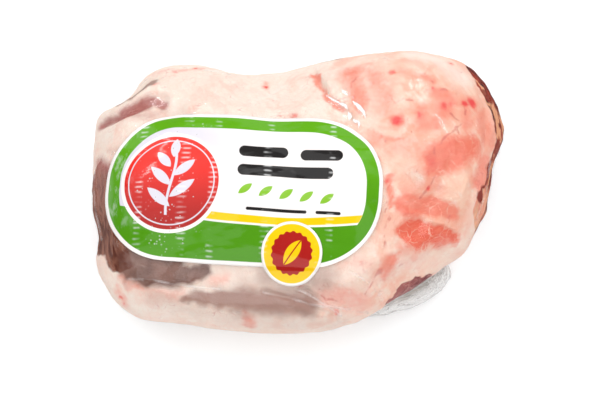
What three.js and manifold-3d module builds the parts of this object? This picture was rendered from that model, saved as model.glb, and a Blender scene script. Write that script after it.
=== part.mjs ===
// A leg of lamb without its shank, vacuum-packed in a clear shrink bag, with a printed label and a round sticker.
// Millimetres. +Z is up and the pack lies on its flattened underside at z = 0. +X runs from the shank end to the
// rump end, +Y to the label's upper edge, and the origin is under the middle of the pack's bounding box.
import * as THREE from "three";
import { mergeVertices } from "three/addons/utils/BufferGeometryUtils.js";
import Module from "manifold-3d";

const wasm = await Module();
wasm.setup();

// Driving dimensions of the whole pack
const LENGTH = 244; // along X
const WIDTH = 166; // along Y
const HEIGHT = 78; // to the top of a plain mound, before its muscles are raised
const WAIST = 32; // height above the floor at which the pack is widest
const SINK = 8; // how far the underside would bulge below the floor if it weren't flattened
const FULLNESS = 0.86; // below 1 the sides stand up more steeply than an ellipsoid's
const CROWN = 0.94; // below 1 the top is flatter than an ellipsoid's
const LEG_DETAIL = 18; // divisions of each face of the icosahedron that the leg is shaped from
const UPPER_DETAIL = 0.3; // above 0 the upper side gets more of the facets than the underside

// The plan outline: reach beside a plain ellipse, every 10 degrees anticlockwise from +X
const REACH = [
  0.945, 0.98, 1.1, 1.175, 1.25, 1.29, 1.2, 1.095, 1.025, // rump end and its upper corner
  0.97, 0.98, 0.985, 1.115, 1.17, 1.115, 1.15, 1.08, 1.035, // waist, then the shank end's upper corner
  1.03, 1.035, 1.05, 1.13, 1.17, 1.205, 1.115, 1.085, 1.06, // shank end and its lower corner
  1.045, 1.03, 0.995, 0.93, 0.91, 0.905, 0.93, 0.93, 0.94, // lower edge, up to the rump end again
];

// Cut faces that stand up more steeply than the rest: bearing of the middle, half spread in degrees, and by how much
const CUT_FACES = [
  { name: "rump cut", bearing: 8, spread: 42, steeper: 0.46 },
  { name: "shank cut", bearing: 190, spread: 34, steeper: 0.3 },
];

// Muscles and hollows: plan centre, half widths along their own axes, turn in degrees and rise (negative sinks)
const MUSCLES = [
  { name: "rump", at: [64, 16], half: [44, 54], turn: -20, rise: 7.5 },
  { name: "rump shoulder", at: [56, 62], half: [38, 16.5], turn: 8, rise: 6 },
  { name: "thigh", at: [-62, 2], half: [52, 38], turn: 4, rise: 4 },
  { name: "shank lobe", at: [-90, 48], half: [24, 14], turn: 30, rise: 4 },
  { name: "lower lobe", at: [-72, -64], half: [40, 13], turn: -4, rise: 4 },
  { name: "lower rump", at: [34, -56], half: [32, 16], turn: 22, rise: 3 },
  { name: "waist saddle", at: [-15, 62], half: [20, 28], turn: 0, rise: -8 },
  { name: "lower hollow", at: [-34, -62], half: [38, 10], turn: -3, rise: -5 },
  { name: "shank face", at: [-118, -8], half: [11, 38], turn: 4, rise: -4 },
];

// Creases between the muscles and folds of fat: a plan path, half width and depth
const CREASES = [
  { name: "seam of the thigh", through: [[10, 54], [14, 42], [22, 28], [28, 16]], half: 8, depth: 3 },
  { name: "shank fold", through: [[-112, 38], [-98, 43], [-84, 41], [-72, 35]], half: 7, depth: 3.8 },
  { name: "rump seam", through: [[42, -14], [44, -29], [43, -45]], half: 5, depth: 1.6 },
  { name: "rump ridge", through: [[87, -1], [74, -22], [68, -35]], half: 5, depth: 1.4 },
  { name: "lower fold", through: [[12, -73], [24, -74], [36, -77]], half: 6, depth: 2.4 },
  { name: "cut corner", through: [[53, -62], [70, -53], [84, -44]], half: 7, depth: 4 },
];

// Crossing waves of unevenness: wavelength, heading in degrees and height
const SWELLS = [
  { wave: 61, turn: 24, height: 0.5 },
  { wave: 47, turn: 97, height: 0.45 },
  { wave: 33, turn: 151, height: 0.35 },
  { wave: 26, turn: 62, height: 0.25 },
];

// The bag's sealed end, crushed flat beside the lower corner of the rump
const FLAP = { from: -70, to: -34, inside: 8, reach: 6.5, thick: 1.2, level: 16, wave: 1.4, waves: 5, steps: 26, rows: 4 };

// The printed label, and the round sticker over its lower edge, as thin skins that follow the pack
const SKIN_GAP = 0.3;
const LABEL = { at: [-30.3, -12], size: [158, 86], corner: 40, turn: -3, thick: 0.5 };
const STICKER = { at: [-2.3, -49], radius: 17, thick: 0.5 };
const ARC_STEPS = 14; // straight steps in each rounded corner of the label
const STICKER_STEPS = 40;

// Reach beside the plain ellipse at any bearing: a periodic Catmull-Rom curve through REACH
function reachAt(bearing) {
  const count = REACH.length;
  const place = ((bearing / (2 * Math.PI)) * count + count) % count;
  const first = Math.floor(place);
  const t = place - first;
  const [before, from, to, after] = [-1, 0, 1, 2].map((step) => REACH[(first + step + count) % count]);
  const slopeFrom = (to - before) / 2;
  const slopeTo = (after - from) / 2;
  return (
    from * (2 * t ** 3 - 3 * t ** 2 + 1) +
    slopeFrom * (t ** 3 - 2 * t ** 2 + t) +
    to * (3 * t ** 2 - 2 * t ** 3) +
    slopeTo * (t ** 3 - t ** 2)
  );
}

// The exponent of the side's profile at a bearing, lower on the cut faces
function fullnessAt(bearing) {
  let fullness = FULLNESS;
  for (const face of CUT_FACES) {
    const off = THREE.MathUtils.euclideanModulo(THREE.MathUtils.radToDeg(bearing) - face.bearing + 180, 360) - 180;
    fullness -= face.steeper * Math.exp(-((off / face.spread) ** 2));
  }
  return fullness;
}

// A point of the unit sphere moved up it, which leaves more facets for the upper side and keeps their shape
function lifted(unit) {
  const z = (unit.z + UPPER_DETAIL) / (1 + UPPER_DETAIL * unit.z);
  const around = Math.sqrt((1 - z * z) / Math.max(unit.x ** 2 + unit.y ** 2, 1e-12));
  return new THREE.Vector3(unit.x * around, unit.y * around, z);
}

// A point of the plain mound for a point of the unit sphere
function moundPoint(unit) {
  const bearing = Math.atan2(unit.y, unit.x);
  const spread = reachAt(bearing) * Math.hypot(unit.x, unit.y) ** fullnessAt(bearing);
  const climb = Math.abs(unit.z) ** CROWN;
  return new THREE.Vector3(
    (LENGTH / 2) * spread * Math.cos(bearing),
    (WIDTH / 2) * spread * Math.sin(bearing),
    unit.z >= 0 ? WAIST + (HEIGHT - WAIST) * climb : WAIST - (WAIST + SINK) * climb,
  );
}

// Distance in plan from a point to a path of straight stretches
function distanceToPath(x, y, path) {
  let least = Infinity;
  for (let i = 1; i < path.length; i++) {
    const [[ax, ay], [bx, by]] = [path[i - 1], path[i]];
    const [dx, dy] = [bx - ax, by - ay];
    const along = THREE.MathUtils.clamp(((x - ax) * dx + (y - ay) * dy) / (dx * dx + dy * dy), 0, 1);
    least = Math.min(least, Math.hypot(x - ax - along * dx, y - ay - along * dy));
  }
  return least;
}

// How far the muscles lift the surface along its normal at a place in plan
function musclesAt(x, y) {
  let rises = 0;
  for (const { at, half, turn, rise } of MUSCLES) {
    const [cos, sin] = [Math.cos(THREE.MathUtils.degToRad(turn)), Math.sin(THREE.MathUtils.degToRad(turn))];
    const [dx, dy] = [x - at[0], y - at[1]];
    rises += rise * Math.exp(-(((dx * cos + dy * sin) / half[0]) ** 2) - ((dy * cos - dx * sin) / half[1]) ** 2);
  }
  return rises;
}

// How deep the creases are at a place in plan
function creasesAt(x, y) {
  const depthOf = ({ through, half, depth }) => depth * Math.exp(-((distanceToPath(x, y, through) / half) ** 2));
  return CREASES.reduce((deep, crease) => deep + depthOf(crease), 0);
}

// A small lasting unevenness, so that the muscles aren't smooth domes
function unevennessAt(x, y) {
  return SWELLS.reduce((sum, { wave, turn, height }) => {
    const angle = THREE.MathUtils.degToRad(turn);
    const along = x * Math.cos(angle) + y * Math.sin(angle);
    return sum + height * Math.sin((2 * Math.PI * along) / wave + turn);
  }, 0);
}

// The leg inside its tight bag: a mound with muscles and creases, its underside flattened by the floor
function legGeometry() {
  const ball = new THREE.IcosahedronGeometry(1, LEG_DETAIL);
  ball.deleteAttribute("normal");
  ball.deleteAttribute("uv");
  const geometry = mergeVertices(ball, 1e-5);
  const position = geometry.attributes.position;
  const point = new THREE.Vector3();
  const heights = [];
  for (let i = 0; i < position.count; i++) {
    const unit = lifted(point.fromBufferAttribute(position, i).normalize());
    heights.push(unit.z);
    position.setXYZ(i, ...moundPoint(unit));
  }
  geometry.computeVertexNormals();
  const out = new THREE.Vector3();
  for (let i = 0; i < position.count; i++) {
    point.fromBufferAttribute(position, i);
    out.fromBufferAttribute(geometry.attributes.normal, i);
    const upper = THREE.MathUtils.smoothstep(heights[i], -0.35, 0.1);
    const open = THREE.MathUtils.smoothstep(out.z, 0, 0.5);
    const relief = upper * (musclesAt(point.x, point.y) + unevennessAt(point.x, point.y));
    point.addScaledVector(out, relief - open * creasesAt(point.x, point.y));
    position.setXYZ(i, point.x, point.y, Math.max(point.z, 0));
  }
  geometry.computeVertexNormals();
  return geometry;
}

// A copy of a closed geometry with each vertex moved out along its normal
function inflated(geometry, distance) {
  const copy = geometry.clone();
  const { position, normal } = copy.attributes;
  const point = new THREE.Vector3();
  const out = new THREE.Vector3();
  for (let i = 0; i < position.count; i++) {
    point.fromBufferAttribute(position, i).addScaledVector(out.fromBufferAttribute(normal, i), distance);
    position.setXYZ(i, ...point);
  }
  return copy;
}

// A closed geometry as a solid, and a solid as a geometry
function solidOf(geometry) {
  const bare = new THREE.BufferGeometry();
  bare.setAttribute("position", geometry.attributes.position);
  bare.setIndex(geometry.index);
  const merged = mergeVertices(bare, 1e-4);
  return new wasm.Manifold(
    new wasm.Mesh({
      numProp: 3,
      vertProperties: new Float32Array(merged.attributes.position.array),
      triVerts: new Uint32Array(merged.index.array),
    }),
  );
}

function geometryOf(solid) {
  const { vertProperties, triVerts } = solid.getMesh();
  const geometry = new THREE.BufferGeometry();
  geometry.setAttribute("position", new THREE.BufferAttribute(vertProperties, 3));
  geometry.setIndex(new THREE.BufferAttribute(triVerts, 1));
  geometry.computeVertexNormals();
  return geometry;
}

// The crushed seal: a wavy sheet of film with two faces, rooted inside the leg and fading to nothing at both ends
function flapGeometry() {
  const { from, to, inside, reach, thick, level, wave, waves, steps, rows } = FLAP;
  const points = [];
  for (const side of [-0.5, 0.5]) {
    for (let i = 0; i <= steps; i++) {
      const share = i / steps;
      const bearing = THREE.MathUtils.degToRad(THREE.MathUtils.lerp(from, to, share));
      const grown = Math.sin(Math.PI * share) ** 0.6 * (1 + 0.18 * Math.sin(11 * share + 1));
      for (let row = 0; row <= rows; row++) {
        const out = THREE.MathUtils.lerp(-inside, reach * grown, row / rows);
        const crush = wave * Math.sin(waves * 2 * Math.PI * share + 1.3 * row) * (row / rows);
        points.push(
          ((LENGTH / 2) * reachAt(bearing) + out) * Math.cos(bearing),
          ((WIDTH / 2) * reachAt(bearing) + out) * Math.sin(bearing),
          level + crush + side * thick,
        );
      }
    }
  }
  const across = rows + 1;
  const sheet = across * (steps + 1);
  const faces = [];
  const quad = (a, b, c, d) => faces.push(a, b, c, a, c, d);
  for (let i = 0; i < steps; i++) {
    for (let row = 0; row < rows; row++) {
      const corner = i * across + row;
      quad(corner, corner + across, corner + across + 1, corner + 1);
      quad(sheet + corner, sheet + corner + 1, sheet + corner + across + 1, sheet + corner + across);
    }
    const [inner, outer] = [i * across, i * across + rows];
    quad(inner, sheet + inner, sheet + inner + across, inner + across);
    quad(outer, outer + across, sheet + outer + across, sheet + outer);
  }
  for (let row = 0; row < rows; row++) {
    const last = steps * across + row;
    quad(row, row + 1, sheet + row + 1, sheet + row);
    quad(last, sheet + last, sheet + last + 1, last + 1);
  }
  const geometry = new THREE.BufferGeometry();
  geometry.setAttribute("position", new THREE.Float32BufferAttribute(points, 3));
  geometry.setIndex(faces);
  return geometry;
}

// An upright prism through the pack, over a plan shape
function prism(shape, curveSegments) {
  const geometry = new THREE.ExtrudeGeometry(shape, { depth: 2 * HEIGHT, bevelEnabled: false, curveSegments });
  geometry.deleteAttribute("normal");
  geometry.deleteAttribute("uv");
  geometry.translate(0, 0, WAIST);
  return mergeVertices(geometry, 1e-4);
}

// The label's plan: an oblong with round ends, grown by a margin
function labelShape(margin) {
  const { at, size, corner, turn } = LABEL;
  const [halfX, halfY] = size.map((side) => side / 2 + margin);
  const radius = corner + margin;
  const angle = THREE.MathUtils.degToRad(turn);
  const points = [[1, 1], [-1, 1], [-1, -1], [1, -1]].flatMap(([sx, sy], quarter) =>
    Array.from({ length: ARC_STEPS + 1 }, (_, step) => {
      const around = (quarter + step / ARC_STEPS) * (Math.PI / 2);
      return new THREE.Vector2(
        sx * (halfX - radius) + radius * Math.cos(around),
        sy * (halfY - radius) + radius * Math.sin(around),
      )
        .rotateAround(new THREE.Vector2(), angle)
        .add(new THREE.Vector2(...at));
    }),
  );
  return new THREE.Shape(points);
}

function stickerShape() {
  return new THREE.Shape().absarc(...STICKER.at, STICKER.radius, 0, 2 * Math.PI);
}

// The skin between two distances from the leg's surface, inside a plan shape
function skin(leg, plan, from, to) {
  return solidOf(inflated(leg, to)).intersect(plan).subtract(solidOf(inflated(leg, from)));
}

function mesh(name, solid, look) {
  const made = new THREE.Mesh(geometryOf(solid), new THREE.MeshStandardMaterial({ metalness: 0, ...look }));
  made.name = name;
  return made;
}

const leg = legGeometry();
const pack = new THREE.Group();

const bag = solidOf(leg).add(solidOf(flapGeometry()));
pack.add(mesh("sealed_leg", bag, { color: "#f0cdbf", roughness: 0.25 }));

const labelTop = SKIN_GAP + LABEL.thick;
const label = skin(leg, solidOf(prism(labelShape(0), 1)), SKIN_GAP, labelTop);
pack.add(mesh("label", label, { color: "#f4f2f4", roughness: 0.3 }));

const underSticker = solidOf(prism(labelShape(SKIN_GAP), 1)).intersect(solidOf(inflated(leg, labelTop + SKIN_GAP)));
const stickerTop = labelTop + SKIN_GAP + STICKER.thick;
const sticker = skin(leg, solidOf(prism(stickerShape(), STICKER_STEPS)), SKIN_GAP, stickerTop);
pack.add(mesh("round_sticker", sticker.subtract(underSticker), { color: "#f2c81e", roughness: 0.3 }));

// The origin goes under the middle of the bounding box
const box = new THREE.Box3().setFromObject(pack);
const middle = box.getCenter(new THREE.Vector3());
pack.position.set(-middle.x, -middle.y, -box.min.z);

export default pack;
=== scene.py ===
"""Dresses a leg of lamb, vacuum-packed in clear shrink film, with its printed label and round sticker.

Sizes and places are in millimetres in the part's own frame: +X from the shank end to the rump end, +Y to the
label's upper edge, +Z up from the floor that the pack lies on. The label and the sticker have places of their
own, u along the label and v up it, from their middle.
"""

import math
from functools import lru_cache, reduce

import bmesh
import bpy
import numpy as np
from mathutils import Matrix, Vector, noise
from mathutils.bvhtree import BVHTree


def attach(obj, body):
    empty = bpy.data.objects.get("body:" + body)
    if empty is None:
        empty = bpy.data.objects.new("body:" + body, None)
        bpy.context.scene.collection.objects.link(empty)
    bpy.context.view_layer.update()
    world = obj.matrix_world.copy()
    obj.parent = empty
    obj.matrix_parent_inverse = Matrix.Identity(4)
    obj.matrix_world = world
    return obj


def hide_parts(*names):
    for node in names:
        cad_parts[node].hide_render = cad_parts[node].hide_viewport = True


bl_info = {
    "name": "Vacuum-packed leg of lamb",
    "version": (1, 0, 0),
    "blender": (4, 5, 0),
    "location": "View3D > Sidebar > Lamb Pack",
    "description": "A leg of lamb in clear shrink film, with a printed label and a round sticker",
    "category": "Add Mesh",
}

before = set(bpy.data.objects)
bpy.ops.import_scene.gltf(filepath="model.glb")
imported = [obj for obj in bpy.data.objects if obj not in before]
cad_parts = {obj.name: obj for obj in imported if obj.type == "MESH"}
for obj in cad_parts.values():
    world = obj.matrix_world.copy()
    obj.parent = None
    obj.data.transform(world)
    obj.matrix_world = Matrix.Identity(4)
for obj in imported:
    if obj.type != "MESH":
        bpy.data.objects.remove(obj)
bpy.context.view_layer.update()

MM = 0.001
SEED = 41

# The leg's skin: quads along each edge of the cube that it is swelled from, passes that round off its facets,
# and the middle and half sizes of the oval that the rays to the CAD solid follow
SKIN_QUADS = 126
SKIN_SMOOTHING = 12
SKIN_CENTRE = (0.0, 0.0, 36.0)
SKIN_REACH = (125.0, 88.0, 46.0)
# Where the CAD solid's seal leaves the leg: heights, bearings in degrees, and passes that close the skin
SEAL_BAND = {"low": 12.0, "high": 20.0, "from": -80.0, "to": -24.0, "passes": 400}

# Grooves of the meat under the film: plan path, half width and depth, where a negative depth stands proud
MEAT_FOLDS = [
    ("seam of the thigh", [(8, 66), (12, 55), (15, 44.5), (19, 39), (24.5, 35.2), (30, 28)], 1.8, 2.2),
    ("lip of the thigh seam", [(17, 54), (20, 45), (27, 38.5), (33, 30)], 2.2, -1.0),
    ("second thigh seam", [(24, 48), (29, 42), (31, 36.5), (36, 30)], 1.6, 1.6),
    ("shank fold", [(-119, 37), (-109, 37.2), (-100, 39.7), (-92.5, 43.8), (-85, 46.5), (-80, 45.5)],
     3.4, 3.0),
    ("lip of the shank fold", [(-112, 48), (-100, 50), (-90, 54), (-80, 52)], 3.4, -1.2),
    ("hollow under the film web", [(-112, 49), (-98, 59), (-88, 64)], 5.0, 1.8),
    ("lower hollow", [(-63, -72), (-40, -73), (-16, -71), (1, -69)], 6.5, 2.4),
    ("lower crease", [(-20, -70), (4, -76), (22, -82)], 1.5, 1.1),
    ("second lower crease", [(2, -67), (10, -74), (20, -79)], 1.4, 0.9),
    ("ridge between the lean bands", [(60, -27), (76, -30), (91, -33)], 1.6, -0.8),
    ("rump seam", [(50, -9), (50, -28), (49, -42), (50, -48)], 1.7, 0.9),
    ("lower rump seam", [(46, -59), (42, -64), (38, -70)], 1.8, 1.0),
    ("rim ridge", [(96, -6), (93, -14), (92, -22)], 2.2, -0.7),
    ("rim groove", [(105, 60), (111, 45), (111, 28), (108, 8), (100, -14)], 2.4, 0.8),
]

# Lean that shows through thin fat: plan outline, strength and how crisp its edge is
LEAN_PATCHES = [
    ("rump eye", [(70, 3), (77, 12), (89, 16), (99, 19), (107, 18), (104, 10), (96, 5), (88, -2), (80, -6),
                  (73, -6)], 0.84, 0.45),
    ("upper band", [(55, -20), (66, -17), (76, -18), (90, -22), (91, -28), (77, -27), (66, -28), (56, -28)],
     0.74, 0.8),
    ("lower wedge", [(55, -37), (62, -30), (73, -31), (93, -35), (92, -39), (82, -40), (68, -45), (61, -44)],
     1.0, 1.0),
    ("small wedge", [(46, -58), (49, -51), (57, -49), (54, -55), (49, -61)], 0.7, 0.8),
    ("rim patch", [(103, 38), (111, 40), (116, 30), (115, 20), (107, 17), (104, 24)], 0.5, 0.4),
]

# Soft pink bloom in the fat: plan path, half width and strength
BLUSHES = [
    ("thigh seam", [(8, 65), (12, 55), (15, 44.5), (19, 39), (24.5, 35.2)], 2.0, 0.62),
    ("second thigh seam", [(29.6, 42.3), (30.6, 38)], 1.0, 0.7),
    ("lobe centre", [(71, 24), (72, 31), (78, 34)], 7.5, 0.52),
    ("star", [(73, 55), (79, 52)], 3.6, 0.5),
    ("lobe left", [(44, 14), (52, 8), (66, 7)], 9, 0.34),
    ("lower left", [(34, -54), (46, -60), (60, -51)], 8.0, 0.22),
    ("upper rump", [(31, 59), (33, 46), (36, 38)], 8.0, 0.5),
    ("left of the lobe", [(44, 56), (48, 46), (50, 33)], 9.0, 0.4),
    ("upper middle", [(54, 61), (62, 57), (77, 52)], 4.5, 0.3),
    ("rump cluster", [(80, 44), (88, 39), (84, 34), (78, 26)], 6.0, 0.6),
    ("small streak", [(68, 29), (75, 33)], 3.0, 0.5),
    ("above the bands", [(60, -16), (74, -12)], 5, 0.35),
    ("below the wedge", [(57, -46), (66, -47)], 4, 0.34),
    ("between the bands", [(56, -24), (62, -28), (68, -28)], 4, 0.5),
    ("lower edge", [(14, -72), (36, -73)], 7, 0.36),
    ("lower patch", [(-30, -82), (-27.5, -84.5)], 4.2, 0.42),
    ("below the eye", [(75, -8), (80, -13)], 5.0, 0.3),
    ("under the dull lean", [(-88, -70), (-68, -71)], 6.0, 0.3),
    ("left of the sticker", [(-48, -64), (-41, -61)], 4.5, 0.3),
    ("beside the label", [(52, -7), (52, -25)], 1.8, 0.6),
    ("middle arc", [(46, 16), (53, 13), (57, 13)], 2.2, 0.5),
    ("under the rim", [(109, 10), (109, 0), (104, -8)], 5, 0.55),
    ("rump side", [(97, 26), (98, 34)], 5, 0.5),
    ("lower rump", [(44, -58), (40, -70)], 4, 0.25),
    ("shank edge", [(-72, 68), (-58, 69)], 2.6, 0.3),
    ("waist", [(-20, 62), (-20, 56)], 2.2, 0.4),
    ("lower shank", [(-102, -60), (-97, -66), (-86, -68)], 3.2, 0.36),
    ("lower shank corner", [(-104, -66), (-100, -76)], 3.4, 0.36),
]

# Spots of blood in the fat: plan place, radius and strength
BLOOD_SPOTS = [
    (55, 25, 3.0, 1.0), (52, 27, 2.2, 0.4), (97, 40, 2.3, 1.0), (102, 42, 2.6, 1.0), (83, 36, 2.8, 0.8),
    (88, 37, 2.2, 0.55), (70, 29, 2.2, 0.7), (54, 59, 2.0, 0.75), (44, 2, 1.8, 0.75), (73, -14, 1.5, 0.9),
    (78, 47, 1.6, 0.75), (-63, 69, 1.2, 1.0), (-20, 57, 1.3, 1.0), (-86, 57, 1.4, 0.6), (-51, 54, 1.4, 0.35),
    (-103, -70, 1.2, 0.8), (-101, -74, 1.1, 0.7), (-4, 31, 1.6, 0.45), (51, -10, 2.0, 0.7),
    (91, 71, 1.3, 0.8), (-74, 66, 1.4, 0.5), (30, -66, 2.0, 0.3), (20, -80, 1.6, 0.5), (76, 2, 4.2, 0.5),
]

# Fine vessels in the fat: plan paths
VEINS = [
    [(78, 52), (78, 47), (72, 44)], [(78, 47), (86, 45)], [(97, 38), (97, 33)],
    [(94, 27), (87, 20), (80, 12)], [(90, 24), (92, 19)],
    [(78, 10), (79, 3), (76, -1)], [(78, -7), (74, -12), (69, -18)],
    [(50, 12), (44, 18)], [(50, -9), (50, -18), (49, -27)], [(51, -31), (48, -36), (49, -46)],
    [(47, -58), (42, -65), (38, -71)], [(58, 40), (66, 38)], [(62, 20), (66, 16)], [(86, 33), (92, 29)],
    [(66, -36), (72, -41)], [(-6, -66), (2, -70)], [(34, 55), (30, 47)], [(12, -70), (22, -75)],
]

# Where a cut lays lean bare, brown at the shank and red at the rump: plan outlines
CUT_LEAN = [
    ("shank wall", [(-145, 9), (-123, 7), (-119, 12.5), (-116, 9), (-111, 3), (-104, -1), (-103, -17),
                    (-99, -40), (-95, -55), (-100, -57.5), (-107, -56), (-112, -50), (-117, -43),
                    (-145, -40)]),
    ("rump rim", [(102, 70), (105.4, 62.6), (109.2, 57.8), (110.9, 51.7), (113.2, 43), (116, 37), (117.2, 30),
                  (116.8, 23.6), (116, 19), (114, 14), (111.9, 8.8), (109.5, -1), (105.3, -7.7),
                  (103.5, -14.5), (102.1, -21), (102.9, -27), (145, -29), (150, 84), (104, 92)]),
]
# The cut face on the rump's end: y and z of its middle, and its half sizes
RUMP_FACE = {"at": (20.0, 25.0), "half": (49.0, 18.0)}
# Fat that closes over the shank's cut near the floor: its height, y of its lowest place, and how wide that is
SHANK_FOOT = {"low": 15.0, "middle": -18.0, "spread": 8.5}

# Soft strokes, each a plan path, half width and strength. First the brown lean below the label's left end,
# darkened by painted shade
UNDER_LABEL = [
    ([(-99, -51), (-95.5, -58.5), (-87, -61), (-77, -62), (-62, -61.5)], 5.4, 1.5),
    ([(-94, -48), (-82, -54), (-68, -56)], 6.0, 1.3),
    ([(-62, -61), (-56, -60), (-52.5, -58.5)], 4.4, 1.15),
]
# Rose lean in the shank's fold, darkened there by painted shade, and at the top of its cut wall
ROSE_FOLD = [
    ([(-121, 36.5), (-115.5, 38.2), (-109, 37.6), (-103, 40)], 3.1, 1.05),
    ([(-104.5, 39.2), (-98, 41.6), (-93.5, 43.4), (-90, 44.6)], 4.9, 1.35),
    ([(-93, 46), (-86.3, 45.6), (-82.5, 43.2), (-79.5, 41)], 3.0, 1.3),
    ([(-96, 35), (-88, 35), (-80, 37)], 5.0, 0.42),
    ([(-119, 12), (-114.5, 7), (-110, 4)], 3.8, 0.8),
]
# Painted shade: a rose line where the crushed seal leaves the leg
SEAL_LINE = [([(71, -59), (77.4, -55.4), (81.8, -52.3), (86, -49.6)], 1.0, 1.0)]
# Pale fat without a flush
PALE_FAT = [
    ([(58, -51), (80, -48), (98, -37)], 6.5, 0.5), ([(104, -20), (101, -33)], 5, 0.5),
    ([(40, -62), (56, -58)], 4, 0.2), ([(96, 60), (84, 71), (68, 74)], 8, 0.95),
]
# Along the rump's rim: tan fat and maroon lean, which show down to a height
TAN_STRANDS = [
    ([(106.5, 63.5), (110.3, 58.8), (112.2, 54)], 1.7, 1.0),
    ([(110, 53), (112, 49), (114, 46)], 1.0, 1.0),
    ([(117, 48), (119, 37), (119.5, 31), (119.5, 27)], 3.0, 1.0),
    ([(117, 14.5), (115.5, 11)], 2.2, 1.0),
]
MAROON_STRANDS = [
    ([(101, 64), (104.5, 61)], 3.0, 1.0),
    ([(112, 55), (115.5, 50)], 2.4, 1.0),
    ([(119.3, 23), (118.5, 18)], 2.6, 1.0),
    ([(115, 15), (112.6, 8), (110.6, 0), (107.5, -6)], 1.9, 1.0),
    ([(105.8, -8), (105.2, -14)], 2.6, 1.0),
]
RIM_LOW = 40.0  # that height
# Dull lean and painted shade over the fat, the first four a wedge of painted shade along the lower edge
GREY_SHADE = [
    ([(-66, -73.6), (-55, -74)], 2.2, 1.0),
    ([(-56, -74), (-45, -74)], 3.8, 1.25),
    ([(-45, -74), (-36, -74)], 5.8, 1.25),
    ([(-34, -74), (-20, -75), (-4, -76), (5, -76)], 7.8, 1.15),
    ([(-32, -65), (-10, -67), (10, -72)], 5, 0.35),
    ([(74, 3), (79, 6)], 5, 0.3),
    ([(-111, 16), (-106, 13)], 3.4, 0.35),
    ([(-20, -62), (4, -64), (16, -63)], 7.5, 0.6),
    ([(-84, -72), (-56, -79), (-30, -83), (0, -86), (26, -83)], 5, 0.34),
    ([(62, -5), (66, -8)], 6, 0.3),
]
# Painted shadow under the film web over the shank's upper hollow, and the height that it keeps to, with its
# slope and half width
GREY_STREAK = [
    ([(-109, 48), (-101, 51.5)], 1.8, 0.9),
    ([(-101, 51.5), (-95.5, 55.8), (-91.5, 59), (-88, 60)], 3.2, 1.5),
]
STREAK_LEVEL = {"x": -95.0, "height": 55.0, "slope": 0.35, "half": 8.0}

# Painted shade of a crevice along the waist's far edge: its ends in x, the height of the skin's normal there,
# and its half width in that height
BACK_CREVICE_SHADE = {"from": -2.0, "to": 34.0, "facing": 0.37, "half": 0.1, "strength": 0.8}
# Dark lean above the seal: its middle, the bearing of its length, and its half length and half height
PURPLE_CUT = {"at": (66.6, -63.2, 31.6), "turn": math.radians(34), "half": (18.2, 12.4)}
# How far bare lean lies below the fat, and how much more where the cut steps down
SUNK = {"lean": 0.35, "purple": 0.6, "cut": 0.5, "steps": 0.8}
LEAST_INSET = 0.12  # between the film and the highest lumps

# Tension folds of the film: plan path, half width and height
FILM_FOLDS = [
    ([(17, 45), (23, 36), (29, 29), (32, 22)], 0.9, 0.8),
    ([(21, 41), (28, 34), (32, 26)], 0.8, 0.6),
    ([(27, 47), (33, 38), (38, 28)], 0.9, 0.9),
    ([(24, 33), (30, 26), (33, 18)], 0.8, 0.6),
    ([(-119, 15), (-121, -2), (-119, -20), (-114, -36)], 1.0, 0.8),
    ([(-108, 13), (-112, -4), (-110, -22), (-103, -44)], 0.9, 0.7),
    ([(-105, 6), (-107, -14), (-104, -30)], 0.8, 0.5),
    ([(-20, -70), (8, -76), (40, -77)], 0.9, 0.5),
    ([(-8, -66), (8, -72), (24, -80)], 0.8, 0.5),
    ([(28, -60), (42, -66), (52, -74)], 0.8, 0.4),
    ([(44, -64), (48, -69), (50, -73)], 0.8, 0.3),
    ([(112, 10), (108, -10), (103, -24)], 1.0, 0.6),
    ([(-70, 70), (-56, 66), (-40, 66)], 0.8, 0.35),
    ([(-113, 45), (-101, 53), (-90, 62)], 3.0, 0.8),
    ([(-58, -87), (-46, -88.5), (-34, -88)], 1.4, 1.3),
    ([(-96, -62), (-70, -66), (-44, -68)], 0.9, 0.5),
]
# Random folds round the sides: how many, the ranges of their length, half width and height, how far from
# upright they lean, in radians, and how far they bow
SIDE_FOLDS = {
    "count": 90, "length": (9, 26), "half": (0.7, 1.3), "rise": (0.35, 1.0), "lean": 0.55, "bow": 1.6,
}
FOLD_MARK = 2.4  # how far to each side of a tension fold the film gets painted highlights
FILM_FOLLOWS = 0.6  # share of the meat's lumps that the tight film shows

# Wet glints where the film bunches over the thigh seam: strokes of plan places with the half width at each
WET_GLINTS = [
    [(16.0, 43.8, 0.15), (19.3, 40.7, 0.5), (23.4, 37.8, 0.55), (26.4, 36.2, 1.0), (28.0, 33.4, 0.3)],
    [(24.6, 47.0, 0.2), (26.0, 44.6, 0.7), (28.2, 42.4, 0.25)],
    [(31.0, 38.2, 0.3), (34.4, 34.4, 1.25), (36.8, 31.2, 0.9), (38.0, 27.0, 0.2)],
    [(28.4, 31.6, 0.3), (29.3, 28.6, 1.2), (28.6, 26.4, 0.3)], [(31.0, 26.2, 0.5), (32.6, 25.2, 1.1)],
    [(33.6, 26.6, 0.2), (34.2, 23.6, 0.7), (34.0, 21.0, 0.2)],
]

# The label: plan place of its middle, half sizes, radius of its corners and turn; its cells along and across
LABEL = {"at": (-32.0, -13.0), "half": (79.0, 43.0), "corner": 40.0, "turn": math.radians(-3)}
LABEL_GRID = (150, 84)
LABEL_RIM, LABEL_BORDER = 2.1, 9.2  # how far in from the label's edge the white rim and the green border end
# The green foot's upper edge: u of its lowest place, how far below the middle that is, and how it curves up
LABEL_FOOT = {"u": 16.0, "below": 22.0, "curve": 0.0014}
# The roundel on the label, and on it, from its own middle, the sprig's leaves with their turn and length
ROUNDEL = {"at": (-40.0, 1.0), "radius": 27.0}
SPRIG_LEAVES = [
    ((-6.5, -9), 142, 17), ((6.5, -4), 36, 17), ((-6, 3), 138, 16),
    ((7, 8), 40, 15), ((-5, 13), 132, 12), ((1, 20), 84, 11),
]
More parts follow.
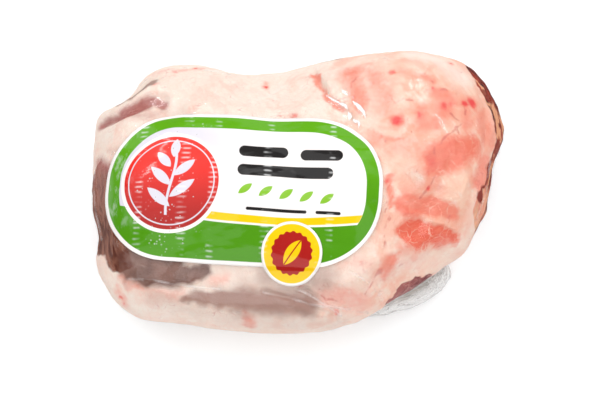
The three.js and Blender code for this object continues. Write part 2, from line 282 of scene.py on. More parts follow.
# Plain dark bars: middle, half length and half height
LABEL_BARS = [
    ((11, 20.5), 14, 3.3), ((44, 19.5), 12, 3.3), ((24, 9), 27, 3.3),
    ((20, -13), 17, 0.9), ((49, -13), 7, 0.9),
]
# Middles of the row of small leaves
SMALL_LEAVES = [(2 + 11.5 * place, -2 - 0.8 * place) for place in range(5)]
# Ladders of puckers over the print: u of each and its half width
LADDERS = [(-58, 3.0), (-33, 3.4), (-16, 3.0), (14, 3.2), (50, 2.6)]
PRINT_SOFT = 0.18  # half width of a printed edge
LABEL_FLOOR, LABEL_TOP = 0.3, 0.8  # heights over the leg's skin
# The sticker: plan place, radius, thickness, and height over the skin on the label; its rings and spokes
STICKER = {"at": (-4.0, -50.0), "radius": 17.0, "thick": 0.5, "top": 1.6}
STICKER_GRID = (16, 96)
STICKER_YELLOW, STICKER_MIDDLE = 15.5, 11.2  # radii of the yellow ring and of the red middle
STICKER_LEAF = {"at": (0.4, 0.2), "turn": 52, "length": 15.5, "width": 7.0}
UV_SPAN = 200.0  # millimetres of print across the UV map

# The crushed seal: its cells along and across it; the bearings of its ends, in degrees, on an oval of these
# half sizes; its root's height at the ends and its rise between them; the height of its free edge; how far
# the root is tucked into the leg; and the length that the lines along it are spread over
SEAL_GRID = (110, 18)
SEAL = {"from": -73, "to": -30, "oval": (122, 83), "low": 9, "arch": 19, "foot": 7, "tuck": 3.0, "run": 75}

# Damp part of the label: u of its middle and its half width, its area in square metres, so that a number of
# beads gives their density, and how flat they are
DAMP = {"u": -42.0, "half": 15.0, "area": 0.0025, "flat": 0.35}

FLOOR_HALF, FLOOR_DROP = 1200.0, 0.2  # half the floor's side, and how far it lies below the pack
# Soft lights: name, place, width and height, and power. From here on places are in metres
SOFTBOXES = [
    ("left", (-0.75, 0.25, 1.25), (1.6, 1.6), 12.5),
    ("right", (0.8, 0.2, 1.25), (1.6, 1.6), 11.6),
    ("front", (0.1, -1.1, 1.0), (1.6, 1.0), 10.3),
    ("back", (0.2, 1.2, 0.8), (1.4, 0.8), 4.8),
    ("left_strip", (-0.85, 0.65, 1.1), (0.5, 0.07), 2.2),
    ("right_strip", (0.8, 0.75, 1.1), (0.5, 0.07), 2.2),
]
SOFTBOX_AIM = (0.0, 0.0, 0.03)
ROOM_LIGHT = 0.14  # of the white room, as against 1 where the camera sees it
CAMERA = {"elevation": math.radians(72), "away": 0.698, "aim": (0.0006, -0.0073, 0.0358)}
LENS, SENSOR = 70, 36


def srgb(text):
    """A linear colour for a hex colour such as #c81e1e."""
    parts = [int(text[i : i + 2], 16) / 255 for i in (1, 3, 5)]
    return tuple(p / 12.92 if p <= 0.04045 else ((p + 0.055) / 1.055) ** 2.4 for p in parts)


# Shapes


def rises(value, low, high):
    """0 below low, 1 above high, and a smooth rise between them."""
    t = np.clip((value - low) / (high - low), 0, 1)
    return t * t * (3 - 2 * t)


def from_path(points, path):
    """Distance in plan from each point to a path of straight stretches."""
    least = np.full(len(points), 1e9)
    for start, end in zip(path[:-1], path[1:]):
        start, step = np.array(start, float), np.subtract(end, start).astype(float)
        along = np.clip(((points[:, :2] - start) @ step) / (step @ step), 0, 1)
        least = np.minimum(least, np.linalg.norm(points[:, :2] - start - along[:, None] * step, axis=1))
    return least


def soft_strokes(points, strokes):
    """The strongest at each point of soft strokes, each given as a plan path, half width and strength."""
    parts = [strength * np.exp(-((from_path(points, path) / half) ** 2)) for path, half, strength in strokes]
    return np.max(parts, axis=0)


def inside_by(points, outline):
    """Distance in plan from an outline, above 0 inside it."""
    ring = list(outline) + [outline[0]]
    odd = np.zeros(len(points), bool)
    for (ax, ay), (bx, by) in zip(ring[:-1], ring[1:]):
        spans = (ay > points[:, 1]) != (by > points[:, 1])
        rise = (by - ay) or 1e-9
        odd ^= spans & (points[:, 0] < (bx - ax) * (points[:, 1] - ay) / rise + ax)
    return np.where(odd, 1, -1) * from_path(points, ring)


def swell(points, size, shift=0.0):
    """Smooth random height at each point, from about -1 to 1, with lumps about size across."""
    return np.array([noise.noise(Vector(p) / size + Vector((shift, shift, shift))) for p in points])


def grid_quads(cell):
    """Quads between the neighbouring columns and rows of a grid of point numbers."""
    return np.stack([cell[:-1, :-1], cell[1:, :-1], cell[1:, 1:], cell[:-1, 1:]], -1).reshape(-1, 4)


def quad_ball(count):
    """Unit points and quads of a cube swelled to a ball, count quads along each edge, its seams merged."""
    steps = np.tan(np.linspace(-1, 1, count + 1) * math.pi / 4)
    a, b = np.meshgrid(steps, steps, indexing="ij")
    sides = []
    for axis in range(3):
        for sign in (-1, 1):
            parts = [None] * 3
            parts[axis], parts[(axis + 1) % 3], parts[(axis + 2) % 3] = sign * np.ones_like(a), sign * a, b
            sides.append(np.stack(parts, -1).reshape(-1, 3))
    corner = np.arange((count + 1) ** 2).reshape(count + 1, count + 1)
    quads = np.concatenate([grid_quads(corner) + side * corner.size for side in range(6)])
    points, place = np.unique(np.round(np.concatenate(sides), 6), axis=0, return_inverse=True)
    return points / np.linalg.norm(points, axis=1)[:, None], place.reshape(-1)[quads]


def neighbours(faces):
    """Each edge of a closed mesh, once in each direction."""
    return np.concatenate([faces[:, [i, (i + 1) % faces.shape[1]]] for i in range(faces.shape[1])])


def averaged(values, edges, times, share=0.5):
    """Values drawn towards the mean of their neighbours."""
    start, end = edges.T
    count = np.bincount(start, minlength=len(values))
    for _ in range(times):
        mean = np.stack([np.bincount(start, column[end], len(values)) / count for column in values.T], 1)
        values = values + share * (mean - values)
    return values


def outward(points, quads):
    """Unit normal at each point of a quad mesh."""
    corners = points[quads]
    face = np.cross(corners[:, 2] - corners[:, 0], corners[:, 3] - corners[:, 1])
    total = np.zeros_like(points)
    for k in range(4):
        np.add.at(total, quads[:, k], face)
    return total / np.maximum(np.linalg.norm(total, axis=1), 1e-9)[:, None]


@lru_cache(maxsize=None)
def leg_skin():
    """The sealed leg's outside as an even quad mesh, without the seal: points, quads and normals."""
    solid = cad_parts["sealed_leg"].data
    tree = BVHTree.FromPolygons([v.co for v in solid.vertices], [tuple(p.vertices) for p in solid.polygons])
    ways, quads = quad_ball(SKIN_QUADS)
    ways = ways * SKIN_REACH
    ways /= np.linalg.norm(ways, axis=1)[:, None]
    centre = Vector(SKIN_CENTRE) * MM
    reach = np.array([tree.ray_cast(centre, Vector(way))[3] / MM for way in ways])[:, None]
    edges = neighbours(quads)
    points = SKIN_CENTRE + ways * reach
    bearing = np.degrees(np.arctan2(points[:, 1] / SKIN_REACH[1], points[:, 0] / SKIN_REACH[0]))
    band = SEAL_BAND
    over = (points[:, 2] > band["low"]) & (points[:, 2] < band["high"])
    over &= (bearing > band["from"]) & (bearing < band["to"])
    for _ in range(band["passes"]):
        reach[over] = averaged(reach, edges, 1, 1.0)[over]
    points = averaged(SKIN_CENTRE + ways * reach, edges, SKIN_SMOOTHING)
    points[:, 2] = np.maximum(points[:, 2], 0)
    return points, quads, outward(points, quads)


@lru_cache(maxsize=None)
def skin_tree():
    """The leg's skin, for rays."""
    points, quads, _ = leg_skin()
    return BVHTree.FromPolygons([Vector(p) for p in points], quads.tolist())


def on_skin(places, lift):
    """Points that lie over plan places, a lift away from the leg's skin along its smoothed normal."""
    points, quads, normals = leg_skin()
    tree = skin_tree()
    found = []
    for (x, y), height in zip(places, lift):
        spot, _, face, _ = tree.ray_cast(Vector((x, y, 200.0)), Vector((0, 0, -1)))
        corners = quads[face]
        weight = 1 / (np.linalg.norm(points[corners] - np.array(spot), axis=1) + 1e-3)
        normal = (normals[corners] * weight[:, None]).sum(0)
        found.append(np.array(spot) + normal / np.linalg.norm(normal) * height)
    return np.array(found)


@lru_cache(maxsize=None)
def leg_lumps():
    """The unevenness of the meat, coarse and fine, which the film follows in part."""
    points = leg_skin()[0]
    return 1.1 * swell(points, 13, 5) + 0.6 * swell(points, 6, 11), 0.3 * swell(points, 2.8, 29)


def label_depth(points):
    """How far in from the label's edge each plan point is, and its place on the label."""
    cos, sin = math.cos(LABEL["turn"]), math.sin(LABEL["turn"])
    off = points[:, :2] - LABEL["at"]
    u, v = off[:, 0] * cos + off[:, 1] * sin, off[:, 1] * cos - off[:, 0] * sin
    corner = LABEL["corner"]
    qx, qy = np.abs(u) - (LABEL["half"][0] - corner), np.abs(v) - (LABEL["half"][1] - corner)
    edge = np.hypot(np.maximum(qx, 0), np.maximum(qy, 0)) + np.minimum(np.maximum(qx, qy), 0) - corner
    return -edge, u, v


def sticker_depth(points):
    """How far in from the sticker's edge each plan point is."""
    return STICKER["radius"] - np.linalg.norm(points[:, :2] - STICKER["at"], axis=1)


def stored(name, points, faces, fields=None, uv=None):
    """A mesh object at the origin from points in millimetres, with a float attribute for each field."""
    mesh = bpy.data.meshes.new(name)
    mesh.from_pydata((np.asarray(points) * MM).tolist(), [], faces)
    mesh.update()
    for field, values in (fields or {}).items():
        made = mesh.attributes.new(field, "FLOAT", "POINT")
        made.data.foreach_set("value", np.asarray(values, np.float32))
    if uv is not None:
        corners = np.empty(len(mesh.loops), np.int32)
        mesh.loops.foreach_get("vertex_index", corners)
        mesh.uv_layers.new(name="print").data.foreach_set("uv", np.asarray(uv, np.float32)[corners].ravel())
    mesh.polygons.foreach_set("use_smooth", [True] * len(mesh.polygons))
    piece = bpy.data.objects.new(name, mesh)
    bpy.context.scene.collection.objects.link(piece)
    return piece


def finished(piece, look, slot, *nodes):
    """Gives a piece its material and its body, and hides the CAD nodes that it stands for.

    slot: not used.
    """
    piece.data.materials.clear()
    piece.data.materials.append(look)
    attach(piece, "root")
    if nodes:
        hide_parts(*nodes)


# Finishes


class Wire:
    """A shader value that can be added and multiplied, so that a pattern reads as its formula."""

    def __init__(self, look, socket):
        self.look, self.socket = look, socket

    def _math(self, kind, *others):
        return self.look.math(kind, self, *others)

    def __add__(self, other):
        return self._math("ADD", other)

    def __sub__(self, other):
        return self._math("SUBTRACT", other)

    def __rsub__(self, other):
        return self.look.math("SUBTRACT", other, self)

    def __mul__(self, other):
        return self._math("MULTIPLY", other)

    __radd__, __rmul__ = __add__, __mul__

    def __abs__(self):
        return self._math("ABSOLUTE")

    def least(self, other):
        return self._math("MINIMUM", other)

    def most(self, other):
        return self._math("MAXIMUM", other)

    def root(self):
        return self._math("SQRT")

    def power(self, other):
        return self._math("POWER", other)

    def sine(self):
        return self._math("SINE")

    def rises(self, low, high):
        return self.look.map(self, low, high)


class Look:
    """A material with short words for the nodes that this pack's finishes need."""

    def __init__(self, name):
        self.material = bpy.data.materials.new(name)
        self.material.use_nodes = True
        self.tree = self.material.node_tree
        self.tree.nodes.clear()
        place = self.add("TexCoord").outputs["Object"]
        scaled = self.add("VectorMath", operation="SCALE")
        self.feed(scaled.inputs[0], place)
        scaled.inputs["Scale"].default_value = 1 / MM
        self.place = scaled.outputs[0]

    def add(self, kind, **settings):
        node = self.tree.nodes.new("ShaderNode" + kind)
        for key, value in settings.items():
            setattr(node, key, value)
        return node

    def feed(self, socket, value):
        if isinstance(value, Wire):
            value = value.socket
        if isinstance(value, bpy.types.NodeSocket):
            self.tree.links.new(value, socket)
        elif socket.type == "RGBA":
            socket.default_value = (*value[:3], 1)
        else:
            socket.default_value = value

    def math(self, kind, *values):
        node = self.add("Math", operation=kind)
        for socket, value in zip(node.inputs, values):
            self.feed(socket, value)
        return Wire(self, node.outputs[0])

    def map(self, value, low, high):
        node = self.add("MapRange", interpolation_type="SMOOTHSTEP")
        for socket, given in zip(node.inputs, (value, low, high, 0.0, 1.0)):
            self.feed(socket, given)
        return Wire(self, node.outputs[0])

    def mix(self, factor, low, high):
        """A colour that turns to another by a factor."""
        node = self.add("Mix", data_type="RGBA")
        for socket, value in zip((node.inputs[0], node.inputs[6], node.inputs[7]), (factor, low, high)):
            self.feed(socket, value)
        return node.outputs[2]

    def over(self, factor, under, top):
        """One shader over another."""
        node = self.add("MixShader")
        for socket, value in zip(node.inputs, (factor, under, top)):
            self.feed(socket, value)
        return node.outputs[0]

    def stretched(self, sizes, turn=(0, 0, 0)):
        """The place, drawn out by a size along each axis of a turned frame."""
        node = self.add("Mapping", vector_type="TEXTURE")
        self.feed(node.inputs["Vector"], self.place)
        node.inputs["Scale"].default_value = sizes
        node.inputs["Rotation"].default_value = [math.radians(t) for t in turn]
        return node.outputs[0]

    def noise(self, size, detail=3.0, rough=0.5, place=None, bend=0.0):
        node = self.add("TexNoise")
        self.feed(node.inputs["Vector"], place or self.place)
        settings = {"Scale": 1 / size, "Detail": detail, "Roughness": rough, "Distortion": bend}
        for key, value in settings.items():
            node.inputs[key].default_value = value
        return Wire(self, node.outputs["Fac"])

    def cells(self, size, feature="F1", place=None):
        node = self.add("TexVoronoi", feature=feature)
        self.feed(node.inputs["Vector"], place or self.place)
        node.inputs["Scale"].default_value = 1 / size
        return Wire(self, node.outputs["Distance"])

    def crooked(self, size, bend_size, bend):
        """Distance from a net of crooked lines."""
        return self.cells(size, "DISTANCE_TO_EDGE", self.bent(bend_size, bend))

    def bent(self, size, amount):
        """The place, pushed about by noise."""
        push = self.add("TexNoise")
        self.feed(push.inputs["Vector"], self.place)
        push.inputs["Scale"].default_value = 1 / size
        moved = self.add("VectorMath", operation="MULTIPLY_ADD")
        self.feed(moved.inputs[0], push.outputs["Color"])
        moved.inputs[1].default_value = (amount,) * 3
        self.feed(moved.inputs[2], self.place)
        return moved.outputs[0]

    def vector(self, kind, *values):
        node = self.add("VectorMath", operation=kind)
        for socket, value in zip(node.inputs, values):
            self.feed(socket, value)
        return node

    def stroke(self, marks):
        """Above 0 inside a stroke of plan marks, each with its half width."""
        parts = []
        flat = self.vector("MULTIPLY", self.place, (1, 1, 0)).outputs[0]
        for (ax, ay, start), (bx, by, end) in zip(marks[:-1], marks[1:]):
            step = (bx - ax, by - ay, 0)
            off = self.vector("SUBTRACT", flat, (ax, ay, 0)).outputs[0]
            along = Wire(self, self.vector("DOT_PRODUCT", off, step).outputs["Value"])
            along = (along * (1 / (step[0] ** 2 + step[1] ** 2))).most(0.0).least(1.0)
            foot = self.add("VectorMath", operation="SCALE")
            foot.inputs[0].default_value = step
            self.feed(foot.inputs["Scale"], along)
            away = self.vector("DISTANCE", off, foot.outputs[0]).outputs["Value"]
            parts.append(along * (end - start) + start - Wire(self, away))
        return reduce(Wire.most, parts)

    def field(self, name):
        """What the mesh stores under a name."""
        return Wire(self, self.add("Attribute", attribute_name=name).outputs["Fac"])

    def ragged(self, name, wander, low, high, whole=None):
        """A stored field with a ragged edge. The wander grows with the field, or is full from whole on."""
        field = self.field(name)
        share = field.rises(0.02, whole) if whole else field
        return (field + wander * share).rises(low, high)

    def axes(self, vector):
        node = self.add("SeparateXYZ")
        self.feed(node.inputs[0], vector)
        return [Wire(self, socket) for socket in node.outputs]

    def bump(self, height, depth, strength=1.0):
        """A normal from a height, where depth is the millimetres between heights 0 and 1."""
        node = self.add("Bump")
        node.inputs["Strength"].default_value = strength
        node.inputs["Distance"].default_value = depth * MM
        self.feed(node.inputs["Height"], height)
        return node.outputs[0]

    def shader(self, kind, settings=None, **values):
        """A shader's output, from the values of its sockets by name."""
        node = self.add(kind, **(settings or {}))
        for key, value in values.items():
            self.feed(node.inputs[key.replace("_", " ")], value)
        return node.outputs[0]

    def output(self, shader):
        self.feed(self.add("OutputMaterial").inputs[0], shader)
        return self.material


def meat_look(colours):
    """Cream fat with lean, blood and vessels showing through it, and brown lean where a cut lays it bare."""
    look = Look("lamb_fat_and_lean")
    big, mid = look.noise(34, 3), look.noise(9, 4, 0.6)
    fine = look.noise(2.2, 5, 0.65)
    wander = (mid - 0.5) * 0.7 + (fine - 0.5) * 0.45
    x, y, z = look.axes(look.place)
    rump = (x + big * 60).rises(20, 110)
    side = look.field("side")

    # Fat: pinker to the rump, with faint lobules and creamy streaks
    fat = look.mix(rump.most(side * 0.5), colours.fat, colours.pink_fat)
    fat = look.mix((mid + big * 0.5).rises(0.7, 0.95) * 0.6, fat, colours.cream)
    streaks = look.noise(4.5, 4, 0.6, look.stretched((1, 2, 1), (0, 0, 35)), 0.5)
    fat = look.mix(streaks.rises(0.52, 0.7) * 0.5, fat, colours.cream)
    flushed = (look.noise(13, 4, 0.6, None, 0.4) + (rump - 0.5) * 0.14).rises(0.46, 0.66)
    fat = look.mix(flushed * (rump * 0.5 + 0.3), fat, colours.flush)
    lobules = look.crooked(3.4, 5, 4)
    fat = look.mix(lobules.rises(0.09, 0.0) * 0.14, fat, colours.flush)

    fat = look.mix(look.field("pale"), fat, colours.fat)
    colour = look.mix(look.ragged("blush", wander * 0.6, 0.05, 0.62, 0.3) * 0.92, fat, colours.blush)

    # Lean under thin fat, with fibres along it and pale threads across it
    fibres = look.noise(1.5, 3, 0.6, look.stretched((2.8, 0.62, 1), (0, 0, 18)))
    lean_mask = (look.field("lean") + wander * 5.0).rises(-2.2, 1.3) * look.field("lean_strength")
    lean = look.mix((fibres + wander * 0.3).rises(0.35, 0.75), colours.lean, colours.lean_light)
    marbling = look.crooked(8, 7, 7).rises(0.04, 0.0) * look.noise(7, 2).rises(0.42, 0.62)
    lean = look.mix(marbling * 0.6, lean, colours.pink_fat)
    colour = look.mix(lean_mask, colour, lean)

    # Crooked lean that shows by chance, more of it on the sides and underneath
    patches = (look.noise(26, 4, 0.55, None, 0.6) + wander * 0.12).rises(0.53, 0.66) * look.field("patches")
    colour = look.mix(patches * 0.7, colour, look.mix(fibres, colours.blush, colours.lean))

    colour = look.mix(look.ragged("blood", wander * 0.9, 0.12, 0.9, 0.3) * 0.9, colour, colours.blood)
    vessel = look.field("vein") + (fine - 0.5) * 1.8 + (mid - 0.5) * 4.0
    colour = look.mix(vessel.rises(0.8, 0.1) * 0.42, colour, colours.vein)
    broken = look.noise(9, 3).rises(0.54, 0.66) * look.crooked(12, 6, 12).rises(0.022, 0.004)
    colour = look.mix(broken * 0.4, colour, colours.vein)

    # Bare lean: brown at the shank and red at the rump, in long strands with tan seams of fat
    strands = look.noise(3.0, 4, 0.6, look.stretched((4.5, 4.5, 0.9)), 0.5)
    warm = x.rises(0, 50)
    dark = look.mix(warm, colours.shank_dark, colours.rump_dark)
    light = look.mix(warm, colours.shank_brown, colours.rump_red)
    bare = look.mix((strands + wander * 0.2).rises(0.36, 0.62), dark, light)
    bare = look.mix(y.rises(-30, 8) * (1 - warm) * 0.35, bare, colours.rose_light)
    seam = look.noise(2.6, 3, 0.55, look.stretched((6.2, 6.2, 1), (4, 3, 0)), 0.3).rises(0.5, 0.62)
    seam = seam * (y + (mid - 0.5) * 16).rises(56, 46) * (warm * 0.7 + 0.15)
    seam = seam * (z + (mid - 0.5) * 14).rises(24, 34)
    muscles = look.crooked(27, 16, 22)
    width = look.noise(19, 2).rises(0.4, 0.62) * 0.035 + 0.006
    parted = (muscles + (fine - 0.5) * 0.03 - width).rises(0.012, -0.004) * warm
    threads = look.noise(2.0, 4, 0.6, look.bent(9, 8), 0.4).rises(0.64, 0.72) * 0.45 * warm
    grain = look.noise(1.7, 3, 0.55, look.stretched((1.2, 7, 3), (0, 0, 8)), 0.3)
    tan = (look.field("tan") + wander * 0.4 + (grain - 0.5) * 2.6).rises(0.5, 0.8)
    bare = look.mix(seam.most(tan * 0.9), bare, look.mix(warm, colours.shank_brown, colours.tan_fat))
    maroon = (look.field("maroon") + wander * 0.3 + (grain - 0.5) * 0.8).rises(0.3, 0.7)
    bare = look.mix(maroon * 0.9, bare, colours.maroon)
    pale_rim = (y + (mid - 0.5) * 14).rises(2, -12) * z.rises(38, 46) * warm * (1 - maroon)
    bare = look.mix(pale_rim * 0.85, bare, look.mix(mid.rises(0.35, 0.7), colours.pale_rim, colours.blush))
    bare = look.mix((parted * 0.9).most(threads) * z.rises(42, 30), bare, colours.pale_seam)
    cut_mask = (look.field("cut") + wander * 2.0).rises(-0.7, 0.7)
    colour = look.mix(cut_mask, colour, bare)
    skin = (1 - abs(look.field("cut") + wander * 2.0 + 0.6) * 0.8).most(0.0)
    colour = look.mix(skin * 0.55 * z.rises(46, 34), colour, colours.rose_light)

    # Rose and dark lean of the folds, the rose partly painted shade, and painted shade in the hollows and
    # below the label
    rosy = look.mix(fibres.rises(0.3, 0.8) * 0.55, colours.rose, colours.rose_light)
    colour = look.mix(look.ragged("rose", wander * 0.8, 0.0, 1.15, 0.4) * 0.95, colour, rosy)
    purple = (look.field("purple") + wander * 0.12).rises(-0.01, 0.07)
    sinew = look.crooked(4.2, 4, 4).rises(0.07, 0.0) * look.noise(5, 2).rises(0.4, 0.6)
    deep = look.mix((mid + wander * 0.5).rises(0.3, 0.7), colours.purple, colours.rose)
    colour = look.mix(purple, colour, look.mix(sinew * 0.8, deep, colours.rose_light))
    # Painted shade: grey over the lean and fat of the hollows and along the lower edge
    colour = look.mix(look.ragged("grey", wander * 0.4, 0.0, 1.1) * 0.86, colour, colours.shade_grey)
    # Painted shadow under the film web that spans the shank's upper hollow
    dull = (look.field("dull") * (1 + wander * 0.6 + (fine - 0.5) * 1.6)).rises(0.1, 1.0)
    web_shadow_colour = look.mix(fine.rises(0.3, 0.6), colours.web_shadow_tint, colours.shade_grey)
    colour = look.mix(dull * 0.8, colour, web_shadow_colour)
    # Painted shade, dark brown and grey, below the label's left end and in the back crevice
    shaded = look.mix((mid + wander * 0.3).rises(0.3, 0.7) * 0.45, colours.shank_dark, colours.shade_grey)
    colour = look.mix(look.ragged("dusk", wander * 0.35, 0.05, 0.95) * 0.9, colour, shaded)

    lumps = look.noise(6, 4, 0.55)
    height = lumps * 0.6 + fine * 0.16 + lobules.rises(0, 0.12) * 0.1 + fibres * lean_mask * 0.16
    body = look.shader(
        "BsdfPrincipled",
        Base_Color=colour,
        Roughness=look.noise(8, 2) * 0.2 + 0.42,
        Normal=look.bump(height + strands * cut_mask * 0.5, 0.9, 0.75),
        Subsurface_Weight=0.1,
        Subsurface_Radius=(1.0, 0.35, 0.22),
        Subsurface_Scale=0.003,
        IOR=1.42,
        Specular_IOR_Level=0.0,
    )
    return look.output(body)


def film_pleats(look):
    """Fine pleats that run down the sides of the pack."""
    x, y, z = look.axes(look.place)
    around = look.add("CombineXYZ")
    look.feed(around.inputs[0], look.math("ARCTAN2", y, x) * 95)
    look.feed(around.inputs[1], z * 0.16)
    ridge = 1 - abs(look.noise(4.2, 3, 0.55, around.outputs[0], 0.8) - 0.5) * 14
    return ridge.most(0.0) * look.field("flank") * look.noise(16, 2).rises(0.45, 0.62)


def film_height(look):
    """Fine creases of tight film: soft swells, and thin crooked folds in a few places."""
    soft = look.noise(7, 3, 0.5, look.stretched((1, 2.2, 1), (0, 0, 25)))
    thin = look.crooked(10, 12, 12).rises(0.05, 0.0)
    some = look.noise(22, 2).rises(0.48, 0.66)
    return soft * 0.6 + thin * some * 0.4 + film_pleats(look) * 0.6


def film_look(colours):
    """Clear shrink film: see-through, with sharp reflections that its folds break up, and painted glints."""
    look = Look("clear_shrink_film")
    normal = look.bump(film_height(look), 0.5, 0.8)
    gloss = look.shader("BsdfGlossy", {"distribution": "GGX"}, Color=(1, 1, 1), Roughness=0.13, Normal=normal)
    clear = look.shader("BsdfTransparent", Color=colours.film)
    # Painted highlights: a white laid over the clear film along its folds and over the thigh seam
    glint_paint = look.shader("BsdfDiffuse", Color=(0.92, 0.92, 0.92))
    fresnel = look.shader("Fresnel", IOR=1.42, Normal=normal)
    shine = Wire(look, fresnel).least(look.field("wall") * 0.08 + 0.03)
    grain = look.noise(1.1, 3, 0.6)
    fold_glint = (look.field("fold") + (grain - 0.5) * 0.35).rises(0.6, 0.86)
    folds = fold_glint * look.noise(9, 2).rises(0.36, 0.6)
    strokes = [look.stroke(stroke) for stroke in WET_GLINTS]
    drops = (look.noise(1.4, 3, 0.6) - 0.5) * 1.6
    wet_glint = (reduce(Wire.most, strokes) + drops).rises(-0.2, 0.25)
    clear_with_glints = look.over((folds * 0.2).most(wet_glint * 0.9), clear, glint_paint)
    return look.output(look.over(shine, clear_with_glints, gloss))


def flap_look(colours):
    """Crushed film: grey and smooth beside the leg with lines along it, clear and crinkled at its far end.

    The grey beside the leg is painted shadow, and its light and dark lines are painted highlights and shade.
    """
    look = Look("crushed_film")
    out, along = look.field("out"), look.field("along")
    run = look.add("CombineXYZ")
    look.feed(run.inputs[0], along * 0.22)
    look.feed(run.inputs[1], out * 10.0)
    smooth = look.noise(3.6, 2, 0.5, run.outputs[0], 0.9)
    crumpled = look.noise(3.4, 3, 0.55, None, 1.2)
    end = (along + (look.noise(9, 2) - 0.5) * 24).rises(32, 48)
    # Painted highlights on the lines and crinkles
    light = (1 - abs(smooth - 0.54) * 40).most(0.0) * (1 - end * 0.8)
    light = light.most((1 - abs(crumpled - 0.56) * 30).most(0.0) * (end * 0.9 + 0.1))
    # Painted shade in the lines, the crinkles and along the free edge
    dark = (1 - abs(smooth - 0.44) * 34).most(0.0) * (1 - end)
    dark = dark.most((1 - abs(crumpled - 0.44) * 26).most(0.0) * end).most(out.rises(0.93, 1.0) * 0.6)
    # Painted shadow greys the seal beside the leg
    near = (out + (look.noise(7, 2) - 0.5) * 0.35).rises(0.8, 0.1)
    tone = look.mix(near, colours.flap_white_and_glint, colours.flap_shadow_grey)
    tone = look.mix(dark * 0.75, tone, colours.flap_shade)
    body = look.shader(
        "BsdfPrincipled",
        Base_Color=look.mix(light, tone, colours.flap_white_and_glint),
        Roughness=0.18,
        Normal=look.bump(smooth + crumpled * end, 1.0),
        Alpha=(light * 0.85).most(near * 0.7).most(dark * 0.7).most(0.28),
        IOR=1.45,
    )
    return look.output(body)


def leaf(u, v, at, turn, length, width):
    """Above 0 inside a pointed leaf."""
    cos, sin = math.cos(math.radians(turn)), math.sin(math.radians(turn))
    along = (u - at[0]) * cos + (v - at[1]) * sin
    across = (v - at[1]) * cos - (u - at[0]) * sin
    # two equal circles that meet at the leaf's tips
    radius = (length * length / 4 + width * width / 4) / width
    off = radius - width / 2
    reach = (along * along + (abs(across) + off).power(2)).root()
    return radius - reach


def bar(u, v, at, half_length, half_height):
    """Above 0 inside a bar with round ends."""
    along = (abs(u - at[0]) - (half_length - half_height)).most(0.0)
    return half_height - (along * along + (v - at[1]) * (v - at[1])).root()


def edge(depth):
    """1 where a depth is above 0, with a soft printed edge."""
    return depth.rises(-PRINT_SOFT, PRINT_SOFT)


def print_place(look):
    """A piece's own place on the print, in millimetres from its middle."""
    u, v, _ = look.axes(look.add("UVMap", uv_map="print").outputs[0])
    return (u - 0.5) * UV_SPAN, (v - 0.5) * UV_SPAN


def ripples(look, u, v):
    """Ladders of short creases where the film over the print has puckered."""
    wobble = (look.noise(9, 2) - 0.5) * 5
    rungs = ((v * 2.2 + wobble * 0.6).sine() * 0.5 + 0.5).power(3.0)
    ladders = [abs(u - at + wobble * 0.7).rises(width, width * 0.3) * rungs for at, width in LADDERS]
    return reduce(Wire.most, ladders) * look.noise(13, 2).rises(0.42, 0.62)


def printed(colour, look, u, v, damp=None):
    """Glossy print under tight film: its ripples and swells are bump and thin white glints."""
    creases = ripples(look, u, v)
    swells = look.noise(11, 3, 0.5, look.stretched((2, 0.7, 1), (0, 0, 12)))
    colour = look.mix(creases * 0.5, colour, (0.95, 0.95, 0.95))
    # damp whitens the print: moisture specks, and on the label painted sheen as well
    if damp is not None:
        colour = look.mix(damp, colour, (0.95, 0.94, 0.95))
    body = look.shader(
        "BsdfPrincipled",
        Base_Color=colour,
        Roughness=0.4,
        Normal=look.bump(swells, 0.4, 0.5),
        Coat_Weight=0.6,
        Coat_Roughness=0.09,
        Coat_IOR=1.42,
        Coat_Normal=look.bump(creases * 0.5 + swells * 0.5, 0.7, 0.8),
        Specular_IOR_Level=0.1,
    )
    return look.output(body)


